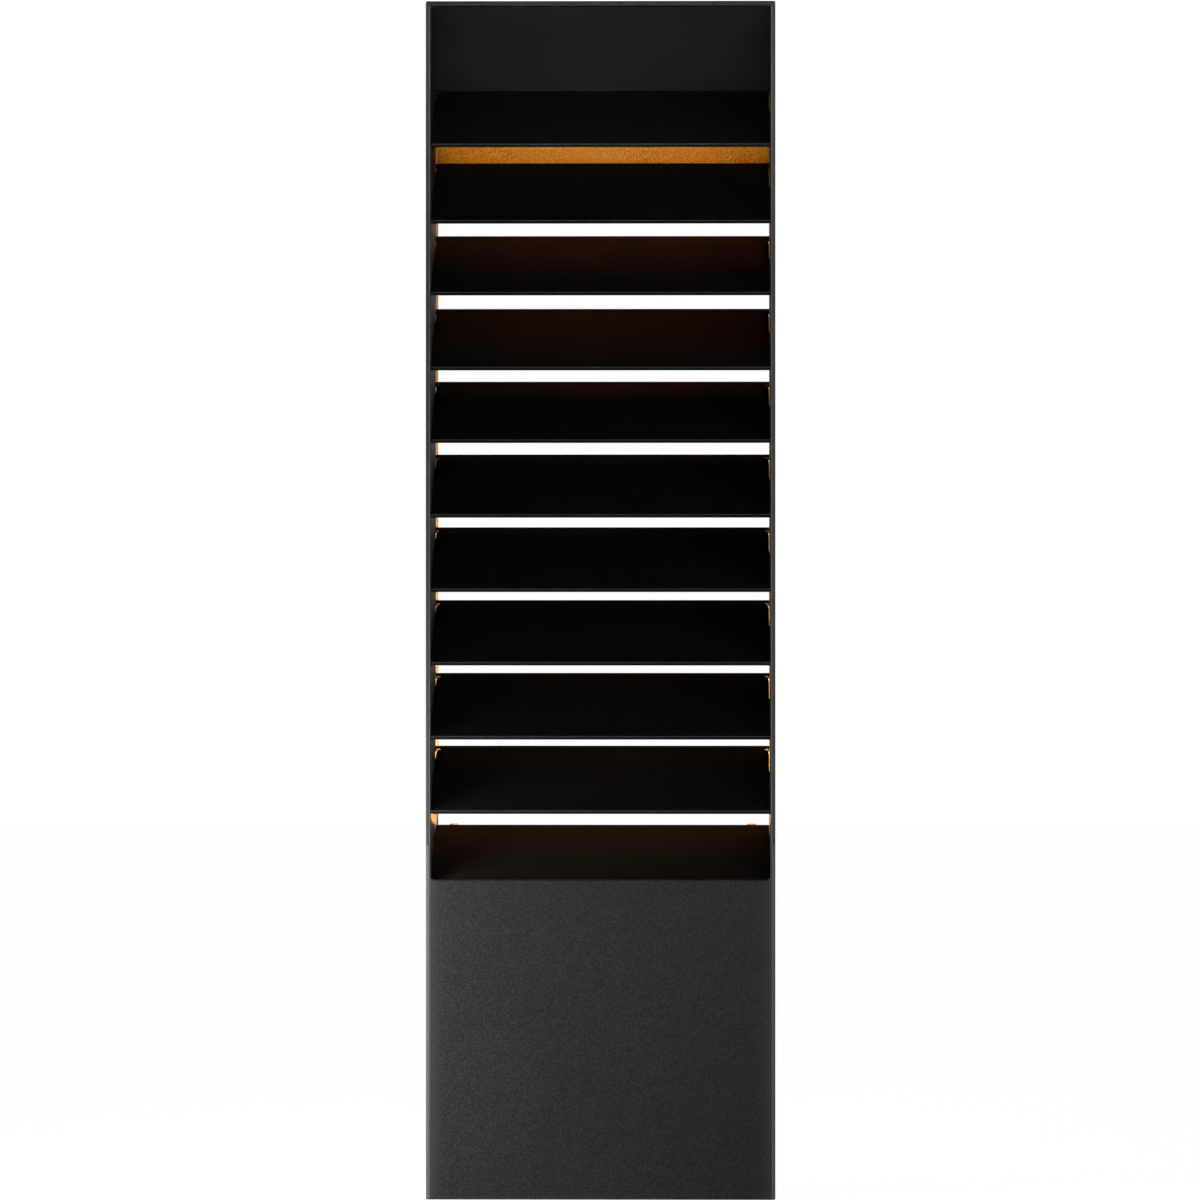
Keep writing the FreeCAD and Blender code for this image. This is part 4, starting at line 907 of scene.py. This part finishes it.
def setOut(name, template, places, slotName, *nodes, seed=3, sharp=meshLook["sharp"]):
    # Places are (x, y, z) in millimetres with the way that the fastener's top faces.
    piece = newMesh(name, [place for place, way in places], [])
    facings = piece.data.attributes.new("facing", "FLOAT_VECTOR", "POINT")
    for index, (place, way) in enumerate(places):
        facings.data[index].vector = way
    applyRule(piece, setAtPlaces, Fastener=template, Turn_Seed=seed, Material=finishes[slotName])
    piece.data.set_sharp_from_angle(angle=math.radians(sharp))
    bpy.data.objects.remove(template)
    settle(piece, slotName, *nodes)


stud = {
    "crest": 2.0, "root": 1.7, "length": 7.5, "pitch": 0.7, "point": 1.4, "pointLength": 0.5, "sides": 14, "sharp": 60,
    "collar": 2.7, "collarTop": 2.43, "collarEdge": 0.196, "collarHeight": 0.28,
    "slatAlong": 58.22, "slatDrop": 6.8, "wallX": 86.4, "frontY": -99.1, "play": 0.3,
    "onSides": ((-23.83, 507.1, 1.5), (-9.5, 481.1, 1.5), (-24.66, 76.6, 1.6)),  # y, z and gauge
    "onFront": ((55.0, 74.1, 1.5), (58.0, 0.0, 2.5)),  # x, z and gauge
}
nut = {
    "across": 7.0, "height": 3.2, "bore": 1.78, "mouth": 2.2, "chamfer": 0.5, "least": 0.25, "face": 0.95,
    "margin": 0.25, "grooves": 3, "steps": 4, "sharp": 24,
}


def studFeet(slatLook, look):
    along, drop = look["slatAlong"], look["slatDrop"]
    y = slatLook["frontY"] + along * math.cos(slope) + drop * math.sin(slope)
    z = slatLook["lowestZ"] + along * math.sin(slope) - drop * math.cos(slope)
    rows = [(y, z + number * slatLook["pitch"], slatLook["gauge"]) for number in range(slatLook["count"])]
    feet = []
    for side in (1, -1):
        for y, z, gauge in rows + list(look["onSides"]):
            feet.append(((side * look["wallX"], y, z), (-side, 0, 0), gauge))
        for x, z, gauge in look["onFront"]:
            feet.append(((side * x, look["frontY"], z), (0, 1, 0), gauge))
    return feet


def makeStud(look):
    root, base, tip = look["root"], look["collarHeight"], look["length"] - look["pointLength"]
    profile = [(0, 0), (look["collar"], 0), (look["collarTop"], look["collarEdge"]), (root, base)]
    profile += threadProfile(root, look["crest"], base, tip, look["pitch"])
    profile += [(root, tip), (look["point"], look["length"]), (0, look["length"])]
    return makeTemplate("Stud", turned(profile, look["sides"]), "zinc_steel", look["sharp"])


def makeNut(look):
    # A hexagon with its corners turned down on both faces, and a threaded bore.
    high, count, least = look["height"], 6 * look["steps"], look["least"]
    radii = hexagonRadii(look["across"], count, math.pi / 6)
    flat, corner = min(radii), max(radii)
    dips = [look["chamfer"] * (least + (1 - least) * (reach - flat) / (corner - flat)) for reach in radii]
    face = [flat * look["face"]] * count
    rings = [ring(face, [0.0] * count), ring(radii, dips)]
    rings += [ring(radii, [high - dip for dip in dips]), ring(face, [high] * count)]
    mouth, margin = look["mouth"], look["margin"]
    bore = threadProfile(mouth, look["bore"], high - margin, margin, (high - 2 * margin) / look["grooves"])
    for radius, height in [(mouth, high), *bore, (mouth, 0.0)]:
        rings.append(ring([radius] * count, [height] * count))
    return makeTemplate("Nut", loft(rings, closed=True), "zinc_steel", look["sharp"])


feet = studFeet(slat, stud)
studPlaces = [(at, way) for at, way, gauge in feet]
setOut("Weld_studs", makeStud(stud), studPlaces, "zinc_steel", "housing_studs", sharp=stud["sharp"])
seats = []
for at, way, gauge in feet:
    lift = stud["play"] + gauge
    seats.append((tuple(value + lift * part for value, part in zip(at, way)), way))
setOut("Hexagon_nuts", makeNut(nut), seats, "zinc_steel", "housing_nuts", seed=11, sharp=nut["sharp"])


def panDome(reach, rim, high, steps):
    # The rounded shoulder of a pan head, from its rim towards the flat on top.
    angles = [math.pi / 2 * (step + 1) / (steps + 1) for step in range(steps)]
    return [(reach * (0.55 + 0.45 * math.cos(angle)), rim + (high - rim) * math.sin(angle)) for angle in angles]


def makeScrew(look):
    # A turned profile with its thread, a hexagon head where it has one, and the recess for the driver.
    foot, (threadFoot, threadEnd) = -look["length"], look["thread"]
    profile = [(0, foot), (look["end"][0], foot), (look["end"][1], foot + look["tip"])]
    profile += threadProfile(look["root"], look["shank"], foot + threadFoot, threadEnd, look["pitch"])
    solid = turned(profile + look["top"], look["sides"])
    piece = makeTemplate("Screw", solid, look["slot"], look["sharp"])
    if "head" in look:
        head = tidyMesh(newMesh("Head", *prism(*look["head"])))
        roundEdges(head, look["headRound"], 3)
        combine(piece, head, "UNION")
    return cutFrom(piece, *look["cut"])


screwBase = {"length": 8.0, "tip": 0.4, "root": 1.7, "shank": 2.0, "pitch": 0.7, "sides": 28, "sharp": 30}
panScrew = {
    **screwBase, "root": 1.22, "shank": 1.5, "pitch": 0.6, "sides": 20, "sharp": 34, "slot": "zinc_steel",
    "end": (0.854, 1.22), "thread": (0.4, -0.5),
    "top": [(1.5, -0.4), (1.5, 0.0), (2.688, 0.0), (2.8, 0.18), *panDome(2.8, 0.3, 1.8, 5), (1.4, 1.8), (0, 1.8)],
    "cut": (crossOutline(0.75, 3.3), 0.55, 2.2, 0.5),
}
screws = {
    "Lens_screws": {**panScrew, "length": 6.5, "at": (77.1, -24.66, 107.1), "way": (0, 0, 1), "seed": 5},
    "Driver_screws": {**panScrew, "at": (47.0, -72.8, 0.0), "way": (0, 1, 0), "seed": 7},
    "Lock_screws": {
        **screwBase, "end": (1.36, 1.7), "thread": (0.4, -1.95), "slot": "black_steel",
        "top": [(2.0, -1.65), (3.59, -0.12), (3.65, -0.04), (3.53, 0.0), (0, 0)],
        "cut": (hexagon(2.5), -1.3, 0.4), "at": (88.9, -12.0, 0.0), "way": (1, 0, 0), "seed": 9,
    },
    "Ground_screw": {
        **screwBase, "length": 4.5, "end": (1.7, 2.0), "thread": (0.5, -0.3), "slot": "earth_green",
        "top": [(2.0, 0.0), (4.85, 0.0), (5.0, 0.12), (4.9, 0.68), (4.5, 0.8), (0, 0.8)],
        "head": (hexagon(8.4), 0.5, 2.6), "headRound": 0.45,
        "cut": ([(-5.0, -0.5), (5.0, -0.5), (5.0, 0.5), (-5.0, 0.5)], 1.5, 3.0),
        "at": (24.0, -5.0, -24.0), "way": (0, -1, 0), "seed": 3, "sidesOfCase": [1],
    },
}

for name, look in screws.items():
    (x, y, z), (wayX, wayY, wayZ) = look["at"], look["way"]
    places = [((side * x, y, z), (side * wayX, wayY, wayZ)) for side in look.get("sidesOfCase", (1, -1))]
    setOut(name, makeScrew(look), places, look["slot"], seed=look["seed"])

# Folded sheets with real bends: the sloping fascia and the gold plate behind the top slat.


def roundedPath(path, radius, steps=5):
    # Replace every inner corner of an open path by an arc of the given radius.
    points = [Vector(path[0])]
    for before, here, after in zip(map(Vector, path), map(Vector, path[1:]), map(Vector, path[2:])):
        back, forth = (before - here).normalized(), (after - here).normalized()
        half = back.angle(forth) / 2
        reach = min(radius / math.tan(half), 0.45 * (after - here).length, 0.45 * (before - here).length)
        centre = here + (back + forth).normalized() * (reach / math.cos(half))
        first, last = here + back * reach - centre, here + forth * reach - centre
        turn = first.angle_signed(last)
        for step in range(steps + 1):
            angle = -turn * step / steps
            cosine, sine = math.cos(angle), math.sin(angle)
            points.append(centre + Vector((first.x * cosine - first.y * sine, first.x * sine + first.y * cosine)))
    return points + [Vector(path[-1])]


def sheetSides(line, gauge, level):
    # Points on both faces of a sheet along its middle line, the first end cut level where that is given.
    sides = []
    for index, point in enumerate(line):
        ways = [(second - first).normalized() for first, second in zip(line, line[1:])][max(0, index - 1):index + 1]
        way = sum(ways, Vector((0, 0))).normalized()
        normal = Vector((-way.y, way.x)) * (gauge / 2 / max(0.5, way.dot(ways[0])))
        sides.append((point + normal, point - normal))
    if level is not None:
        way = (line[1] - line[0]).normalized()
        sides[0] = tuple(point + way * ((level - point.y) / way.y) for point in sides[0])
    return sides


def earOutline(look):
    # An ear in (y, z), with a slot open at its tip.
    root, depth = look["earRoot"], look["gauge"] / 2 + ears["depth"]
    inward = look["earWay"]
    tip, centre, half, slot = root + inward * depth, look["earCentre"], ears["length"] / 2, ears["slotHalf"]
    end, cut = tip - inward * (ears["depth"] / 2 + slot), inward * ears["cut"]
    corners = [(root, centre - half), (tip - cut, centre - half), (tip, centre - half + ears["cut"])]
    corners.append((tip, centre - slot))
    for step in range(ears["slotSteps"] + 1):
        angle = -math.pi / 2 - math.pi * step / ears["slotSteps"]
        corners.append((end + inward * slot * (1 + math.cos(angle)), centre + slot * math.sin(angle)))
    corners += [(tip, centre + slot), (tip, centre + half - ears["cut"]), (tip - cut, centre + half)]
    return corners + [(root, centre + half)]


def foldedSheet(name, slotName, look):
    # The path is the sheet's middle line in (y, z).
    sides = sheetSides(roundedPath(look["path"], look["bend"]), look["gauge"], look.get("level"))
    outline = [upper for upper, lower in sides] + [lower for upper, lower in reversed(sides)]
    points, faces = loft([[(x, y, z) for y, z in outline] for x in (-look["halfWidth"], look["halfWidth"])])
    around = len(outline)
    for start in (0, around):
        for index in range(len(sides) - 1):
            opposite = start + around - 1 - index
            faces.append([start + index, start + index + 1, opposite - 1, opposite])
    solids = [(points, faces)]
    for side in (1, -1):
        edges = sorted((side * (ears["outer"] - ears["gauge"]), side * ears["outer"]))
        solids.append(loft([[(x, y, z) for y, z in earOutline(look)] for x in edges], capped=True))
    piece = tidyMesh(newMesh(name, *joined(*solids), finishes[slotName]))
    roundEdges(piece, look["edgeRound"])
    piece.data.set_sharp_from_angle(angle=math.radians(meshLook["sharp"]))
    settle(piece, slotName)
    return piece


ears = {"length": 22.0, "depth": 14.0, "slotHalf": 2.2, "slotSteps": 6, "cut": 2.0, "outer": 86.1, "gauge": 1.5}
fascia = {
    "path": ((-96.9, 526.0), (-30.4, 487.2), (-31.58, 490.2), (-31.58, 526.05), (-18.3, 526.05)), "level": 526.8,
    "gauge": 1.5, "halfWidth": 86.36, "bend": 1.3, "edgeRound": 0.2,
    "earRoot": -31.58, "earWay": 1, "earCentre": 507.1,
}
backPlate = {
    "path": ((-1.75, 526.8), (-1.75, 435.85), (-9.0, 435.85)),
    "gauge": 1.5, "halfWidth": 86.38, "bend": 1.5, "edgeRound": 0.2,
    "earRoot": -1.75, "earWay": -1, "earCentre": 481.1,
}

topFascia = foldedSheet("Top_fascia", "powder_coat", fascia)
# The fascia takes the darker, painted-shade copy of the case's coat.
topFascia.data.materials[0] = makeFinish("Fascia coat", powderCoat, fasciaShadedLook)
foldedSheet("Upper_back_plate", "gold_coat", backPlate)

# Rubber grommets, the light source's lead and its glands.


def grommetSolid(look):
    # Bore, upper lip, neck and lower lip as one closed outline with soft corners.
    bore, neck, flange, seat, half = (look[key] for key in ("bore", "neck", "flange", "seat", "half"))
    upper = [(bore, 0), (bore, half), (flange, half), (flange, seat), (neck, seat)]
    lower = [(radius, -height) for radius, height in reversed(upper)]
    return turned(roundedPath(upper + lower, look["round"]), look["sides"])


def tubeAlong(look):
    # Straight runs joined by arcs, with one ring of points at each step.
    stops = [Vector(stop) for stop in look["stops"]]
    line = [(stops[0], (stops[1] - stops[0]).normalized())]
    for before, corner, after in zip(stops, stops[1:], stops[2:]):
        way, onward = (corner - before).normalized(), (after - corner).normalized()
        turn = way.angle(onward)
        centre = corner + (onward - way).normalized() * (look["bend"] / math.cos(turn / 2))
        start = corner - way * look["bend"] * math.tan(turn / 2) - centre
        for step in range(look["steps"] + 1):
            spin = Quaternion(way.cross(onward).normalized(), turn * step / look["steps"])
            line.append((centre + spin @ start, spin @ way))
    line.append((stops[-1], (stops[-1] - stops[-2]).normalized()))
    rings, side = [], Vector((1, 0, 0))
    around = ring([look["radius"]] * look["sides"], [0.0] * look["sides"])
    for place, way in line:
        side = (side - way * side.dot(way)).normalized()
        across = way.cross(side)
        rings.append([tuple(place + side * x + across * y) for x, y, z in around])
    return loft(rings, capped=True)


def makeGland(look):
    # A hexagon foot below a finely ribbed barrel, both with the bore through them.
    count = look["ribs"] * 4
    barrel = [look["barrel"] - (look["groove"] if index % 4 == 3 else 0.0) for index in range(count)]
    bore, solids = [look["bore"]] * count, []
    foot = (hexagonRadii(look["across"], count), 0.0, look["foot"])
    for radii, low, high in (foot, (barrel, look["foot"], look["height"])):
        low, high = [low] * count, [high] * count
        rings = [ring(radii, low), ring(radii, high), ring(bore, high), ring(bore, low)]
        solids.append(loft(rings, closed=True))
    piece = tidyMesh(newMesh("Gland", *joined(*solids), finishes["gland_grey"]), weld=False)
    roundEdges(piece, look["edgeRound"], angle=50)
    return piece


def roundedRectangle(size, corner, height, first, steps=3):
    points = []
    for quarter, (signX, signY) in enumerate(((1, 1), (-1, 1), (-1, -1), (1, -1))):
        for step in range(steps + 1):
            angle = math.pi / 2 * (quarter + step / steps)
            x = signX * (size[0] / 2 - corner) + corner * math.cos(angle)
            y = signY * (size[1] / 2 - corner) + corner * math.sin(angle)
            points.append((first[0] + x, first[1] + y, first[2] + height))
    return points


def makeChips(look):
    # A white frame round a well of yellow gel, then the whole row along the board.
    frameLoop, wellLoop = (look["size"], look["corner"]), (look["well"], look["wellCorner"])
    loops = ((*frameLoop, 0.0), (*frameLoop, look["height"]), (*wellLoop, look["height"]), (*wellLoop, look["gel"]))
    solid = loft([roundedRectangle(*loop, look["first"]) for loop in loops], capped=True)
    piece = newMesh("Led_chips", *solid, finishes["chip_yellow"])
    step = (look["pitch"] / 1000, 0, 0)
    applyRule(piece, evenRow, Count=look["count"], Step=step, Material=finishes["chip_yellow"])
    piece.data.materials.append(plastics["Chip frame"])
    gelHeight = (look["first"][2] + look["gel"]) / 1000
    for face in piece.data.polygons:
        face.material_index = 0 if abs(face.center.z - gelHeight) < meshLook["weld"] else 1
    return piece


grommets = {
    "Cable_grommet": {"bore": 7.0, "neck": 10.85, "flange": 14.0, "seat": 1.1, "half": 3.15, "round": 0.9,
                      "sides": 48, "place": (0, -4.0, 0), "way": (0, 1, 0)},
    "Tray_grommet": {"bore": 1.775, "neck": 3.45, "flange": 5.4, "seat": 0.95, "half": 2.35, "round": 0.55,
                     "sides": 48, "place": (76.8, -24.66, 84.9), "way": (0, 0, 1)},
}
lead = {
    "stops": ((39, -86.8, 20.0), (39, -86.8, 51), (76.8, -24.66, 51), (76.8, -24.66, 87.3)),
    "bend": 12.0, "radius": 1.7, "sides": 16, "steps": 12,
}
gland = {
    "across": 8.0, "foot": 3.5, "barrel": 3.0, "groove": 0.16, "ribs": 15, "height": 7.0, "bore": 1.775,
    "edgeRound": 0.2, "places": ((-39, -86.8, 20.0), (39, -86.8, 20.0)),
}
chip = {
    "size": (3.5, 2.8), "height": 0.8, "well": (2.7, 2.0), "gel": 0.66, "corner": 0.25, "wellCorner": 0.5,
    "first": (-66.286, -24.66, 87.3), "pitch": 9.4286, "count": 14,
}

for name, look in grommets.items():
    template = makeTemplate(name + "_form", grommetSolid(look), "rubber_black")
    setOut(name, template, [(look["place"], look["way"])], "rubber_black")
settle(makeTemplate("Led_lead", tubeAlong(lead), "lead_white"), "lead_white")
glandPlaces = [(place, (0, 0, 1)) for place in gland["places"]]
setOut("Driver_glands", makeGland(gland), glandPlaces, "gland_grey", seed=8, sharp=30)
settle(makeChips(chip), "chip_yellow")

# The other sheets, boxes and blocks keep their drawn form and get rounded arrises, in millimetres.

softened = {
    "sill_plate": ("powder_coat", 0.25), "lamp_tray": ("heat_sink", 0.2), "lamp_lens": ("lens_white", 0.5),
    "lens_gasket": ("foam_black", 0.2), "led_board": ("board_white", 0.12), "led_connector": ("plug_white", 0.3),
    "driver_case": ("driver_white", 0.8), "driver_lid": ("driver_white", 0.4), "wall_plate": ("plate_steel", 0.3),
    "wall_gasket": ("foam_black", 0.4),
}


def soften(source, slotName, width):
    # Merge the drawn faces, then round every arris sharper than the bevel angle.
    form = bmesh.new()
    form.from_mesh(source.data)
    form.transform(source.matrix_world)
    bmesh.ops.remove_doubles(form, verts=form.verts, dist=meshLook["weld"])
    bmesh.ops.dissolve_limit(form, angle_limit=math.radians(1), verts=form.verts, edges=form.edges)
    sharpest = math.radians(meshLook["bevelAngle"])
    arrises = [edge for edge in form.edges if edge.is_manifold and edge.calc_face_angle(0) > sharpest]
    bmesh.ops.bevel(form, geom=arrises, offset=width / 1000, segments=2, profile=0.5, affect="EDGES",
                    clamp_overlap=True)
    bmesh.ops.recalc_face_normals(form, faces=form.faces)
    piece = newMesh(source.name.capitalize(), [], [], source.material_slots[0].material)
    form.to_mesh(piece.data)
    form.free()
    piece.data.shade_smooth()
    piece.data.set_sharp_from_angle(angle=math.radians(meshLook["sharp"]))
    settle(piece, slotName)


for name, (slotName, width) in softened.items():
    soften(cadNodes[name], slotName, width)
bpy.context.view_layer.update()
